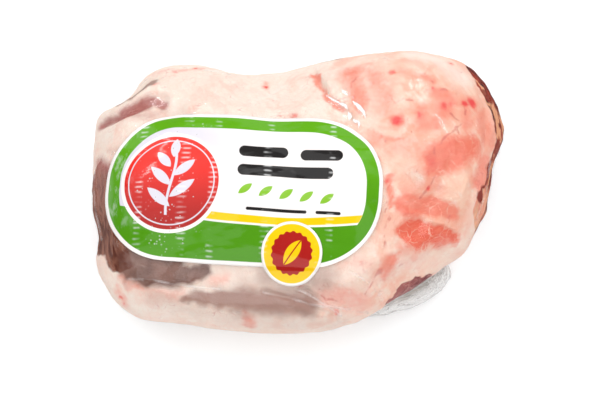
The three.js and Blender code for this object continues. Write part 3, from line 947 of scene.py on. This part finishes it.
def label_look(colours):
    """A white label: green border and foot, yellow stripe, red roundel with a pale sprig, bars and leaves."""
    look = Look("printed_label")
    u, v = print_place(look)
    corner = LABEL["corner"]
    qx, qy = abs(u) - (LABEL["half"][0] - corner), abs(v) - (LABEL["half"][1] - corner)
    rim = (qx.most(0.0).power(2) + qy.most(0.0).power(2)).root() + qx.most(qy).least(0.0) - corner
    depth = rim * -1.0

    shaded = (u + (look.noise(28, 2) - 0.5) * 60).rises(20, -50)
    paper = look.mix(shaded, colours.label_white, colours.label_lilac)
    lit = (v + (look.noise(30, 2) - 0.5) * 20).rises(-30, 30)
    green = look.mix(lit, colours.label_dark_green, colours.label_green)
    field = edge(depth - LABEL_BORDER)
    colour = look.mix(edge(depth - LABEL_RIM), colours.label_white, green)
    colour = look.mix(field, colour, paper)

    foot = (u - LABEL_FOOT["u"]).power(2) * LABEL_FOOT["curve"] - LABEL_FOOT["below"] - v
    colour = look.mix(edge(foot) * edge(depth - 5), colour, green)
    stripe = edge(foot + 5.2) * edge(foot * -1 - 1.1)
    colour = look.mix(stripe * field * edge(u + 40), colour, colours.label_yellow)

    middle, radius = ROUNDEL["at"], ROUNDEL["radius"]
    reach = ((u - middle[0]).power(2) + (v - middle[1]).power(2)).root()
    red = look.mix(v.rises(-26, 24), colours.label_deep_red, colours.label_red)
    colour = look.mix(edge(radius + 2.0 - reach), colour, colours.label_white)
    colour = look.mix(edge(radius - reach), colour, red)
    colour = look.mix(edge(0.35 - abs(reach - radius + 2.6)), colour, colours.label_lilac)

    stem = 0.75 - abs(u - middle[0] - (v * 0.11).sine() * 2.0)
    sprig = stem.least(19 - abs(v - middle[1]))
    for at, turn, length in SPRIG_LEAVES:
        sprig = sprig.most(leaf(u, v, (middle[0] + at[0], middle[1] + at[1]), turn, length, 5.4))
    colour = look.mix(edge(sprig), colour, colours.label_lilac)

    for at, half_length, half_height in LABEL_BARS:
        colour = look.mix(edge(bar(u, v, at, half_length, half_height)), colour, colours.label_ink)
    for at in SMALL_LEAVES:
        colour = look.mix(edge(leaf(u, v, at, 38, 9.5, 3.8)), colour, colours.label_lime)

    specks = look.cells(2.1).rises(0.34, 0.12) * look.noise(10, 3).rises(0.52, 0.66)
    damp = specks * abs(u + 38).rises(26, 8) * 0.45
    # Painted sheen: pale blotches of film reflection over the label's left end
    painted_sheen = look.noise(5, 4, 0.6, look.stretched((1, 1.8, 1))).rises(0.5, 0.68) * u.rises(-58, -72)
    return printed(colour, look, u, v, damp.most(painted_sheen * 0.25))


def sticker_look(colours):
    """A round sticker: white rim, yellow ring with a wavy inner edge, and a red middle with a yellow leaf."""
    look = Look("printed_sticker")
    u, v = print_place(look)
    reach = (u * u + v * v).root()
    waves = (look.math("ARCTAN2", v, u) * 18).sine() * 0.4
    colour = look.mix(edge(STICKER_YELLOW - reach), colours.label_white, colours.label_yellow)
    colour = look.mix(edge(STICKER_MIDDLE + waves - reach), colour, colours.label_deep_red)
    at, turn = STICKER_LEAF["at"], STICKER_LEAF["turn"]
    blade = leaf(u, v, at, turn, STICKER_LEAF["length"], STICKER_LEAF["width"])
    vein = (u - at[0]) * math.sin(math.radians(turn)) - (v - at[1]) * math.cos(math.radians(turn))
    colour = look.mix(edge(blade), colour, colours.label_yellow)
    colour = look.mix(edge((0.35 - abs(vein)).least(blade)), colour, colours.label_deep_red)
    return printed(colour, look, u, v)


def bead_look(colours):
    """Beads of water, pale and half clear."""
    look = Look("moisture")
    pale = look.mix(look.noise(3, 2), colours.flap_white_and_glint, colours.label_white)
    return look.output(look.shader("BsdfPrincipled", Base_Color=pale, Roughness=0.12, Alpha=0.55, IOR=1.33))


def floor_look():
    """A light table, which glows a little and coolly, so that shadows on it stay faint and grey."""
    look = Look("studio_floor")
    body = look.shader(
        "BsdfPrincipled",
        Base_Color=look.mix(look.noise(300, 2), (0.79, 0.79, 0.79), (0.76, 0.76, 0.76)),
        Roughness=0.7,
        Specular_IOR_Level=0.2,
        Emission_Color=look.mix(look.noise(300, 2), (0.71, 0.79, 0.82), (0.69, 0.77, 0.8)),
        Emission_Strength=0.38,
    )
    return look.output(body)


# Sizes and colours that a user may change


def length_prop(name, description, default):
    return bpy.props.FloatProperty(name=name, description=description, default=default * MM, unit="LENGTH")


def colour_prop(name, description, default):
    return bpy.props.FloatVectorProperty(
        name=name, description=description, default=srgb(default), subtype="COLOR", size=3, min=0, max=1
    )


class LambPackSizes(bpy.types.PropertyGroup):
    meat_inset: length_prop("Meat inset", "How far the meat lies under the film", 0.35)
    meat_lumps: length_prop("Lumps", "Height of the meat's smaller lumps", 0.55)
    film_lift: length_prop("Film lift", "How far the film stands off the leg's own surface", 0.08)
    side_fold: length_prop("Side folds", "Height of the film's random folds on the sides", 0.55)
    flap_reach: length_prop("Seal reach", "How far the crushed seal stands out", 10.0)
    flap_thick: length_prop("Seal thickness", "Thickness of the crushed seal", 0.25)
    bead: length_prop("Moisture bead", "Radius of the largest bead of moisture", 0.5)
    beads: bpy.props.IntProperty(
        name="Beads", description="Beads of moisture under the film", default=150, min=0
    )


class LambPackColours(bpy.types.PropertyGroup):
    fat: colour_prop("Fat", "Pale fat of the shank end", "#f3e2d6")
    pink_fat: colour_prop("Pink fat", "Fat of the rump", "#f2c6b0")
    cream: colour_prop("Cream fat", "The thickest fat", "#f6e8dc")
    flush: colour_prop("Flush", "Faint pink in the fat", "#efad96")
    blush: colour_prop("Blush", "Lean seen deep under the fat", "#ef907c")
    lean: colour_prop("Lean", "Lean seen through thin fat", "#ea6d58")
    lean_light: colour_prop("Light lean", "Paler fibres of lean", "#ee8068")
    blood: colour_prop("Blood", "Blood spots", "#e64a4c")
    vein: colour_prop("Vessels", "Fine vessels in the fat", "#c24a4a")
    rose: colour_prop("Rose", "Shaded lean of the folds", "#a35c58")
    rose_light: colour_prop("Light rose", "Light lean of the folds", "#c88f86")
    purple: colour_prop("Purple", "Dark lean beside the seal", "#7a3a3c")
    shank_dark: colour_prop("Shank dark", "Darkest bare lean of the shank end", "#5c3228")
    shank_brown: colour_prop("Shank brown", "Bare lean of the shank end", "#94614f")
    rump_dark: colour_prop("Rump dark", "Darkest bare lean of the rump's rim", "#380904")
    rump_red: colour_prop("Rump red", "Bare lean of the rump's rim", "#a0321d")
    # Painted shade over lean and fat, in the hollows and along the lower edge
    shade_grey: colour_prop("Grey lean", "Dull lean and shaded fat", "#9a7166")
    # Painted shadow under the film web that spans a hollow of the meat
    web_shadow_tint: colour_prop("Dull film", "Film that spans a hollow of the meat", "#9b8880")
    pale_seam: colour_prop("Pale seams", "Fat between the muscles of the rump's cut face", "#e0b39c")
    pale_rim: colour_prop("Pale rim", "Thin fat along the lower part of the rump's rim", "#efb795")
    maroon: colour_prop("Maroon", "Dark lean along the rump's rim", "#86291b")
    tan_fat: colour_prop("Tan fat", "Seams of fat in bare lean", "#eaa47c")
    film: colour_prop("Film", "Tint of the clear film", "#fcfcfc")
    # Painted shadow: the seal's grey beside the leg
    flap_shadow_grey: colour_prop("Seal grey", "The crushed seal", "#a89d92")
    flap_shade: colour_prop("Seal shade", "Shaded creases of the crushed seal", "#736a60")
    # The seal's far part and the beads, and painted highlights on the seal's creases
    flap_white_and_glint: colour_prop("Seal white", "Creases of the crushed seal", "#eeecea")
    label_white: colour_prop("Label white", "Rims of the label, the roundel and the sticker", "#f5efec")
    label_lilac: colour_prop("Label lilac", "Shaded paper, and the roundel's sprig and ring", "#dad6e0")
    label_green: colour_prop("Label green", "The label's border and foot", "#5ba308")
    label_dark_green: colour_prop("Dark green", "The border's lower part, and the foot", "#4b9104")
    label_lime: colour_prop("Label lime", "The label's row of small leaves", "#86bd33")
    label_yellow: colour_prop("Yellow", "The label's stripe, and the sticker's ring and leaf", "#f3c600")
    label_red: colour_prop("Label red", "The label's roundel", "#f12a1e")
    label_deep_red: colour_prop("Deep red", "The roundel's foot, and the sticker's middle", "#a81510")
    label_ink: colour_prop("Label ink", "The label's dark bars", "#1c1919")


# Pieces


def cut_depth(points, normals, drift):
    """How far in each point is from the outline of the lean that a cut lays bare."""
    wide = drift.copy()
    wide[:, 1] += 8 * swell(points, 18, 51) * rises(normals[:, 2], 0.5, 0.1)
    cut = np.max([inside_by(wide, outline) for _, outline in CUT_LEAN], axis=0)
    foot = SHANK_FOOT["low"] + ((drift[:, 1] - SHANK_FOOT["middle"]) / SHANK_FOOT["spread"]) ** 2
    over_foot = drift[:, 2] - foot + 3.0 * swell(points, 8, 43)
    cut = np.where(points[:, 0] < 0, np.minimum(cut, over_foot), cut)
    off = (drift[:, [1, 2]] - RUMP_FACE["at"]) / RUMP_FACE["half"]
    face = (1 - np.linalg.norm(off, axis=1)) * RUMP_FACE["half"][1] - 99 * (points[:, 0] < 90)
    return np.clip(np.maximum(cut, face), -9, 9)


def back_crevice_shade(points, normals, drift):
    """Painted shade of a crevice along the waist's far edge."""
    middle, reach = (BACK_CREVICE_SHADE["from"] + BACK_CREVICE_SHADE["to"]) / 2, (BACK_CREVICE_SHADE["to"] - BACK_CREVICE_SHADE["from"]) / 2
    off = (drift[:, 0] - middle) / reach
    rise = (normals[:, 2] - BACK_CREVICE_SHADE["facing"] + 0.06 * swell(points, 9, 37)) / BACK_CREVICE_SHADE["half"]
    return BACK_CREVICE_SHADE["strength"] * (rises(np.hypot(off, rise), 1.0, 0.3) * (points[:, 1] > 40))


def purple_cut(points):
    """Above 0 in the oval of dark lean above the seal."""
    (x, y, z), turn, (half_along, half_up) = PURPLE_CUT["at"], PURPLE_CUT["turn"], PURPLE_CUT["half"]
    along = ((points[:, 0] - x) * math.cos(turn) + (points[:, 1] - y) * math.sin(turn)) / half_along
    outward_by = (points[:, 0] - x) * math.sin(turn) - (points[:, 1] - y) * math.cos(turn)
    oval = 1 - np.hypot(along, (points[:, 2] - z) / half_up)
    oval = oval + 0.2 * swell(points, 7, 3) + 0.1 * swell(points, 3, 5)
    return np.where(outward_by > -14, oval, -1)


def meat_fields(points, normals):
    """Where each colour of the meat shows, from the named patches, for every point."""
    upper = rises(normals[:, 2], 0.0, 0.35)
    drift = points.copy()
    for axis, coarse, fine in ((0, 3, 9), (1, 17, 23)):
        drift[:, axis] += 2.2 * swell(points, 9, coarse) + 1.0 * swell(points, 3.5, fine)
    lean = np.array([crisp * inside_by(drift, outline) for _, outline, _, crisp in LEAN_PATCHES])
    strengths = np.array([strength for _, _, strength, _ in LEAN_PATCHES])
    blush = soft_strokes(drift, [patch[1:] for patch in BLUSHES])
    blood = np.zeros(len(points))
    for x, y, radius, strength in BLOOD_SPOTS:
        off = np.linalg.norm(drift[:, :2] - (x, y), axis=1) / radius
        blood = np.maximum(blood, strength * np.exp(-(off**2)))
        blush = np.maximum(blush, 0.6 * strength * np.exp(-((off / 2) ** 2)))
    on_rim = rises(points[:, 2], RIM_LOW - 4, RIM_LOW + 4)
    # Painted shade along the line where the seal leaves the leg
    line = soft_strokes(points, SEAL_LINE) * rises(points[:, 2], 33, 38)
    off = points[:, 2] - STREAK_LEVEL["height"] - STREAK_LEVEL["slope"] * (points[:, 0] - STREAK_LEVEL["x"])
    side = 0.25 + 0.75 * rises(normals[:, 2], 0.45, -0.1)
    plain = rises(-normals[:, 1], 0.1, 0.5) * rises(points[:, 0], 70, 40)
    return {
        "lean": np.clip(lean.max(axis=0), -9, 9) - 9 * (1 - upper),
        "lean_strength": strengths[lean.argmax(axis=0)],
        "blush": blush * upper,
        "blood": blood * upper,
        "vein": np.min([from_path(drift, path) for path in VEINS], axis=0) + (1 - upper) * 9,
        "cut": cut_depth(points, normals, drift),
        "tan": soft_strokes(points, TAN_STRANDS) * on_rim,
        "maroon": soft_strokes(points, MAROON_STRANDS) * on_rim,
        "dusk": np.maximum(soft_strokes(drift, UNDER_LABEL), back_crevice_shade(points, normals, drift)),
        "rose": np.maximum(soft_strokes(points, ROSE_FOLD) * rises(points[:, 2], 37, 46), line),
        "purple": purple_cut(points),
        "pale": soft_strokes(drift, PALE_FAT),
        "grey": soft_strokes(drift, GREY_SHADE) * rises(points[:, 2], 18, 44),
        "dull": soft_strokes(points, GREY_STREAK) * np.exp(-((off / STREAK_LEVEL["half"]) ** 2)),
        "side": side,
        "patches": side * (1 - 0.9 * plain),
    }


class LAMB_OT_meat(bpy.types.Operator):
    """Shape the leg of lamb from its sealed outline, with its grooves, lumps and lean"""

    bl_idname = "lamb.meat"
    bl_label = "Leg of lamb"

    def execute(self, context):
        sizes = context.scene.lamb_pack_sizes
        points, quads, normals = leg_skin()
        fields = meat_fields(points, normals)
        depth = np.full(len(points), sizes.meat_inset / MM)
        for _, *fold in MEAT_FOLDS:
            depth += soft_strokes(points, [fold]) * rises(normals[:, 2], -0.1, 0.3)
        coarse, fine = leg_lumps()
        depth += sizes.meat_lumps / MM * (0.75 - coarse - fine)
        bare = SUNK["lean"] * rises(fields["lean"], -1.2, 1.0)
        depth += bare + SUNK["purple"] * rises(fields["purple"], -0.05, 0.12)
        steps = SUNK["cut"] + SUNK["steps"] * swell(points * (1, 1, 2.4), 9, 31)
        depth += rises(fields["cut"], -2, 2) * steps
        depth = np.maximum(depth, LEAST_INSET) * rises(points[:, 2], -0.5, 3.0)
        made = points - normals * depth[:, None]
        made[:, 2] = np.maximum(made[:, 2], LEAST_INSET)
        piece = stored("leg_of_lamb", made, quads.tolist(), fields)
        finished(piece, meat_look(context.scene.lamb_pack_colours), "meat", "sealed_leg")
        return {"FINISHED"}


def side_folds(points, normals, height):
    """Random short folds of the film, mostly upright, round the sides and away from the label."""
    rng = np.random.default_rng(SEED)
    flank = np.flatnonzero((normals[:, 2] < 0.7) & (points[:, 2] > 6))
    total = np.zeros(len(points))
    for start in rng.choice(flank, SIDE_FOLDS["count"], replace=False):
        normal = normals[start]
        down = np.array([0, 0, 1.0]) - normal * normal[2]
        down /= np.linalg.norm(down)
        across = np.cross(normal, down)
        lean = rng.normal(0, SIDE_FOLDS["lean"])
        way = down * math.cos(lean) + across * math.sin(lean)
        length, half, rise = [rng.uniform(*SIDE_FOLDS[size]) for size in ("length", "half", "rise")]
        off = points - points[start]
        along = np.clip(off @ way, -length / 2, length / 2)
        bow = SIDE_FOLDS["bow"] * np.sin(along / length * math.pi * 1.3 + rng.uniform(0, 6))
        away = np.linalg.norm(off - along[:, None] * way - bow[:, None] * across, axis=1)
        taper = 1 - (2 * along / length) ** 2
        total = np.maximum(total, rise * taper * np.exp(-((away / half) ** 2)))
    return total * height


class LAMB_OT_film(bpy.types.Operator):
    """Draw clear film tight over the leg, with tension folds"""

    bl_idname = "lamb.film"
    bl_label = "Clear film"

    def execute(self, context):
        sizes = context.scene.lamb_pack_sizes
        points, quads, normals = leg_skin()
        facing_up = normals[:, 2] > 0
        height = side_folds(points, normals, sizes.side_fold / MM)
        height = np.maximum(height, soft_strokes(points, FILM_FOLDS) * facing_up)
        nearest = np.min([from_path(points, path) for path, _, _ in FILM_FOLDS], axis=0)
        fold = np.clip(1 - nearest / FOLD_MARK, 0, 1) * facing_up
        covered = np.maximum(label_depth(points)[0], sticker_depth(points))
        open_film = 1 - rises(covered, -2.5, -0.8)
        slack = FILM_FOLLOWS * sizes.meat_lumps / MM * (0.75 - leg_lumps()[0])
        lift = (sizes.film_lift / MM + height * open_film - slack) * rises(points[:, 2], 0.3, 2.5)
        made = points + normals * lift[:, None]
        made[:, 2] = np.maximum(made[:, 2], 0)
        fields = {
            "fold": fold * open_film,
            "flank": rises(normals[:, 2], 0.85, 0.45) * open_film,
            "wall": rises(normals[:, 2] + 0.3 * normals[:, 1], 0.3, -0.1) * open_film,
        }
        piece = stored("clear_film", made, quads.tolist(), fields)
        finished(piece, film_look(context.scene.lamb_pack_colours), "film", "sealed_leg")
        return {"FINISHED"}


def turned_out(piece):
    """Makes a closed mesh's faces point outwards."""
    work = bmesh.new()
    work.from_mesh(piece.data)
    bmesh.ops.recalc_face_normals(work, faces=work.faces)
    work.to_mesh(piece.data)
    work.free()


def shell(name, top, low, faces, ring, **stores):
    """A closed thin sheet: an upper and a lower layer of points, with walls along the ring of its edge."""
    count = len(top)
    after = np.roll(ring, -1)
    under = [[corner + count for corner in face[::-1]] for face in faces]
    walls = np.stack([ring, after, after + count, ring + count], 1).tolist()
    made = stored(name, np.concatenate([top, low]), [*faces, *under, *walls], **stores)
    turned_out(made)
    return made


def rough(*place):
    """Smooth random height at one place, from about -1 to 1."""
    return noise.noise(Vector(place))


class LAMB_OT_seal(bpy.types.Operator):
    """Crush the bag's sealed end against the lower corner of the rump"""

    bl_idname = "lamb.seal"
    bl_label = "Crushed seal"

    def execute(self, context):
        sizes = context.scene.lamb_pack_sizes
        reach, thick = sizes.flap_reach / MM, sizes.flap_thick / MM
        (columns, rows), (half_x, half_y) = SEAL_GRID, SEAL["oval"]
        tree = skin_tree()
        top, outs, runs = [], [], []
        for column in range(columns + 1):
            share = column / columns
            bearing = math.radians(SEAL["from"] + (SEAL["to"] - SEAL["from"]) * share)
            way = Vector((math.cos(bearing) * half_x, math.sin(bearing) * half_y, 0)).normalized()
            level = SEAL["low"] + SEAL["arch"] * math.sin(math.pi * share) ** 0.8
            root = tree.ray_cast(Vector((0, 0, level)), way)[0]
            grown = math.sin(math.pi * share**1.25) ** 0.6 * (0.12 + 1.05 * share)
            grown *= 1 + 0.16 * rough(share * 11, 2, 5) + 0.07 * rough(share * 37, 3, 8)
            for row in range(rows + 1):
                t = row / rows
                spot = root + way * (-SEAL["tuck"] + (SEAL["tuck"] + reach * grown) * t)
                crush = rough(share * 5, t * 2.4, 1) * 1.8
                crush += rough(share * 24, t * 5, 7) * (0.5 + 1.4 * share * share)
                ridge = 1 - abs(rough(share * 7 + t * 3, t * 4, 3)) * 3
                fall = level + (SEAL["foot"] - level) * t**0.8
                outs.append(t)
                runs.append(share * SEAL["run"])
                top.append((spot.x, spot.y, max(fall + (crush + max(ridge, 0) * 0.8) * min(1, t * 2.5), 1.0)))
        top = np.array(top)
        cell = np.arange(len(top)).reshape(columns + 1, rows + 1)
        faces = np.roll(grid_quads(cell), -1, axis=1).tolist()
        ring = np.concatenate([cell[0, :], cell[1:, -1], cell[-1, -2::-1], cell[-2:0:-1, 0]])
        fields = {"out": outs * 2, "along": runs * 2}
        piece = shell("crushed_seal", top, top - (0, 0, thick), faces, ring, fields=fields)
        finished(piece, flap_look(context.scene.lamb_pack_colours), "film", "sealed_leg")
        return {"FINISHED"}


class LAMB_OT_label(bpy.types.Operator):
    """Lay the printed label over the leg"""

    bl_idname = "lamb.label"
    bl_label = "Label"

    def execute(self, context):
        (half_x, half_y), corner = LABEL["half"], LABEL["corner"]
        columns, rows = LABEL_GRID
        even = np.linspace(-1, 1, rows + 1)
        v = (np.sin(even * math.pi / 2) * 0.25 + even * 0.75) * half_y
        rounded = np.maximum(np.abs(v) - (half_y - corner), 0)
        width = half_x - corner + np.sqrt(np.maximum(corner**2 - rounded**2, 0))
        u = np.linspace(-1, 1, columns + 1)[:, None] * width[None, :]
        v = np.broadcast_to(v[None, :], u.shape)
        cos, sin = math.cos(LABEL["turn"]), math.sin(LABEL["turn"])
        x, y = LABEL["at"][0] + u * cos - v * sin, LABEL["at"][1] + u * sin + v * cos
        plan = np.stack([x, y], -1).reshape(-1, 2)
        cell = np.arange(u.size).reshape(columns + 1, rows + 1)
        ring = np.concatenate([cell[:, 0], cell[-1, 1:], cell[-2::-1, -1], cell[0, -2:0:-1]])
        uv = np.stack([u, v], -1).reshape(-1, 2) / UV_SPAN + 0.5
        flat = np.column_stack([plan, np.zeros(len(plan))])
        lift = LABEL_TOP + 0.18 * swell(flat * (0.6, 1.6, 1), 7, 2) * rises(label_depth(flat)[0], 0, 6)
        low = on_skin(plan, lift - (LABEL_TOP - LABEL_FLOOR - 0.1))
        faces, uv = grid_quads(cell).tolist(), np.concatenate([uv, uv])
        piece = shell("printed_label", on_skin(plan, lift), low, faces, ring, uv=uv)
        finished(piece, label_look(context.scene.lamb_pack_colours), "label", "label")
        return {"FINISHED"}


class LAMB_OT_sticker(bpy.types.Operator):
    """Stick the round sticker over the label's lower edge"""

    bl_idname = "lamb.sticker"
    bl_label = "Round sticker"

    def execute(self, context):
        rings, spokes = STICKER_GRID
        turns = np.arange(spokes) / spokes * 2 * math.pi
        rim = np.stack([np.cos(turns), np.sin(turns)], 1) * STICKER["radius"]
        local = np.concatenate([rim * (ring + 1) / rings for ring in range(rings)] + [np.zeros((1, 2))])
        hub = rings * spokes
        cell = np.arange(hub).reshape(rings, spokes)
        closed = np.column_stack([cell, cell[:, 0]])
        faces = grid_quads(closed).tolist()
        faces += [[start, end, hub] for start, end in zip(closed[0, :-1].tolist(), closed[0, 1:].tolist())]
        plan = local + STICKER["at"]
        on_label = rises(label_depth(np.column_stack([plan, np.zeros(len(plan))]))[0], -1.6, 0.4)
        floor = LABEL_FLOOR + STICKER["thick"]
        lift = floor + (STICKER["top"] - LABEL_FLOOR - STICKER["thick"]) * on_label
        top, low = on_skin(plan, lift), on_skin(plan, lift - STICKER["thick"])
        uv = np.concatenate([local, local]) / UV_SPAN + 0.5
        piece = shell("printed_sticker", top, low, faces, cell[-1], uv=uv)
        finished(piece, sticker_look(context.scene.lamb_pack_colours), "sticker", "round_sticker")
        return {"FINISHED"}


def bead_tree(material):
    """Geometry nodes that scatter flat beads over the damp part of a sheet."""
    tree = bpy.data.node_groups.new("moisture_beads", "GeometryNodeTree")
    for name, way, kind in (
        ("Geometry", "INPUT", "Geometry"), ("Beads", "INPUT", "Int"), ("Radius", "INPUT", "Float"),
        ("Seed", "INPUT", "Int"), ("Geometry", "OUTPUT", "Geometry"),
    ):
        tree.interface.new_socket(name, in_out=way, socket_type="NodeSocket" + kind)

    def add(kind, inputs=None, **settings):
        node = tree.nodes.new(kind)
        for key, value in settings.items():
            setattr(node, key, value)
        for key, value in (inputs or {}).items():
            if isinstance(value, bpy.types.NodeSocket):
                tree.links.new(value, node.inputs[key])
            else:
                node.inputs[key].default_value = value
        return node.outputs

    def maths(operation, first, second):
        return add("ShaderNodeMath", {0: first, 1: second}, operation=operation)[0]

    given = add("NodeGroupInput")
    damp = add("GeometryNodeInputNamedAttribute", {"Name": "damp"}, data_type="FLOAT")["Attribute"]
    density = maths("MULTIPLY", damp, maths("DIVIDE", given["Beads"], DAMP["area"]))
    sheet = {"Mesh": given["Geometry"], "Density": density, "Seed": given["Seed"]}
    spots = add("GeometryNodeDistributePointsOnFaces", sheet, distribute_method="RANDOM")
    ball = add("GeometryNodeMeshIcoSphere", {"Subdivisions": 2, "Radius": 1.0})["Mesh"]
    share = add("FunctionNodeRandomValue", {2: 0.25, 3: 1.0, "Seed": given["Seed"]}, data_type="FLOAT")[1]
    size = maths("MULTIPLY", share, given["Radius"])
    flat = add("ShaderNodeCombineXYZ", {0: size, 1: size, 2: maths("MULTIPLY", size, DAMP["flat"])})[0]
    laid = {"Points": spots["Points"], "Rotation": spots["Rotation"], "Instance": ball, "Scale": flat}
    beads = add("GeometryNodeInstanceOnPoints", laid)["Instances"]
    beads = add("GeometryNodeRealizeInstances", {"Geometry": beads})["Geometry"]
    beads = add("GeometryNodeSetShadeSmooth", {"Geometry": beads})["Geometry"]
    beads = add("GeometryNodeSetMaterial", {"Geometry": beads, "Material": material})["Geometry"]
    add("NodeGroupOutput", {"Geometry": beads})
    return tree


class LAMB_OT_moisture(bpy.types.Operator):
    """Scatter beads of moisture over the label's roundel and beside it"""

    bl_idname = "lamb.moisture"
    bl_label = "Moisture"

    def execute(self, context):
        sizes = context.scene.lamb_pack_sizes
        label = bpy.data.objects["printed_label"]
        patch = label.copy()
        patch.data = label.data.copy()
        context.scene.collection.objects.link(patch)
        co = np.empty(len(patch.data.vertices) * 3)
        patch.data.vertices.foreach_get("co", co)
        depth, u, v = label_depth(co.reshape(-1, 3) / MM)
        damp = rises(depth, 8, 12) * np.exp(-(((u - DAMP["u"]) / DAMP["half"]) ** 2))
        damp *= 0.25 + 0.75 * (v < 10)
        damp *= rises(-u, 24, 30)
        # none on the label's underside
        damp[len(damp) // 2 :] = 0
        patch.data.attributes.new("damp", "FLOAT", "POINT").data.foreach_set("value", damp.astype(np.float32))
        bead = bead_look(context.scene.lamb_pack_colours)
        tree = bead_tree(bead)
        modifier = patch.modifiers.new("Beads", "NODES")
        modifier.node_group = tree
        inputs = {"Beads": sizes.beads, "Radius": sizes.bead, "Seed": SEED}
        for item in tree.interface.items_tree:
            if item.name in inputs:
                modifier[item.identifier] = inputs[item.name]
        mesh = bpy.data.meshes.new_from_object(patch.evaluated_get(context.evaluated_depsgraph_get()))
        bpy.data.objects.remove(patch)
        mesh.name = "moisture_beads"
        if not mesh.polygons:
            raise RuntimeError("no bead of moisture was made")
        piece = bpy.data.objects.new("moisture_beads", mesh)
        context.scene.collection.objects.link(piece)
        finished(piece, bead, "film")
        return {"FINISHED"}


def towards(thing, place, way):
    """Puts a light or the camera at a place, looking along a way."""
    thing.location = place
    thing.rotation_euler = Vector(way).to_track_quat("-Z", "Y").to_euler()
    bpy.context.scene.collection.objects.link(thing)


class LAMB_OT_stage(bpy.types.Operator):
    """Set the pale floor, the soft lights and the camera"""

    bl_idname = "lamb.stage"
    bl_label = "Studio"

    def execute(self, context):
        scene = context.scene
        low, high = -FLOOR_HALF, FLOOR_HALF
        corners = [(x, y, -FLOOR_DROP) for x, y in ((low, low), (high, low), (high, high), (low, high))]
        floor = stored("studio_floor", corners, [(0, 1, 2, 3)])
        floor.data.materials.append(floor_look())
        for name, place, (width, height), power in SOFTBOXES:
            box = bpy.data.lights.new(name, "AREA")
            box.shape, box.size, box.size_y, box.energy = "RECTANGLE", width, height, power
            towards(bpy.data.objects.new(name, box), place, Vector(SOFTBOX_AIM) - Vector(place))
        world = bpy.data.worlds.new("studio")
        world.use_nodes = True
        wires = world.node_tree
        room = wires.nodes["Background"]
        room.inputs[0].default_value = (1, 1, 1, 1)
        seen, strength = wires.nodes.new("ShaderNodeLightPath"), wires.nodes.new("ShaderNodeMapRange")
        strength.inputs["To Min"].default_value, strength.inputs["To Max"].default_value = ROOM_LIGHT, 1.0
        wires.links.new(seen.outputs["Is Camera Ray"], strength.inputs["Value"])
        wires.links.new(strength.outputs["Result"], room.inputs[1])
        scene.world = world
        scene.view_settings.view_transform = "Standard"

        lens = bpy.data.cameras.new("camera")
        lens.lens, lens.sensor_width = LENS, SENSOR
        scene.camera = bpy.data.objects.new("camera", lens)
        back = Vector((0, -math.cos(CAMERA["elevation"]), math.sin(CAMERA["elevation"])))
        towards(scene.camera, Vector(CAMERA["aim"]) + back * CAMERA["away"], -back)
        return {"FINISHED"}


class LAMB_PT_pack(bpy.types.Panel):
    """The pack's pieces, sizes and colours"""

    bl_idname = "LAMB_PT_pack"
    bl_label = "Lamb Pack"
    bl_space_type = "VIEW_3D"
    bl_region_type = "UI"
    bl_category = "Lamb Pack"

    def draw(self, context):
        for piece in PIECES:
            self.layout.operator(piece.bl_idname)
        for group in (context.scene.lamb_pack_sizes, context.scene.lamb_pack_colours):
            for name in group.__annotations__:
                self.layout.prop(group, name)


PIECES = (
    LAMB_OT_meat, LAMB_OT_film, LAMB_OT_seal, LAMB_OT_label, LAMB_OT_sticker, LAMB_OT_moisture, LAMB_OT_stage,
)
CLASSES = (LambPackSizes, LambPackColours, *PIECES, LAMB_PT_pack)


def register():
    for made in CLASSES:
        bpy.utils.register_class(made)
    bpy.types.Scene.lamb_pack_sizes = bpy.props.PointerProperty(type=LambPackSizes)
    bpy.types.Scene.lamb_pack_colours = bpy.props.PointerProperty(type=LambPackColours)


def unregister():
    del bpy.types.Scene.lamb_pack_colours
    del bpy.types.Scene.lamb_pack_sizes
    for made in reversed(CLASSES):
        bpy.utils.unregister_class(made)


def main():
    """Makes every piece in order."""
    register()
    bpy.ops.lamb.meat()
    bpy.ops.lamb.film()
    bpy.ops.lamb.seal()
    bpy.ops.lamb.label()
    bpy.ops.lamb.sticker()
    bpy.ops.lamb.moisture()
    bpy.ops.lamb.stage()


if __name__ == "__main__":
    main()
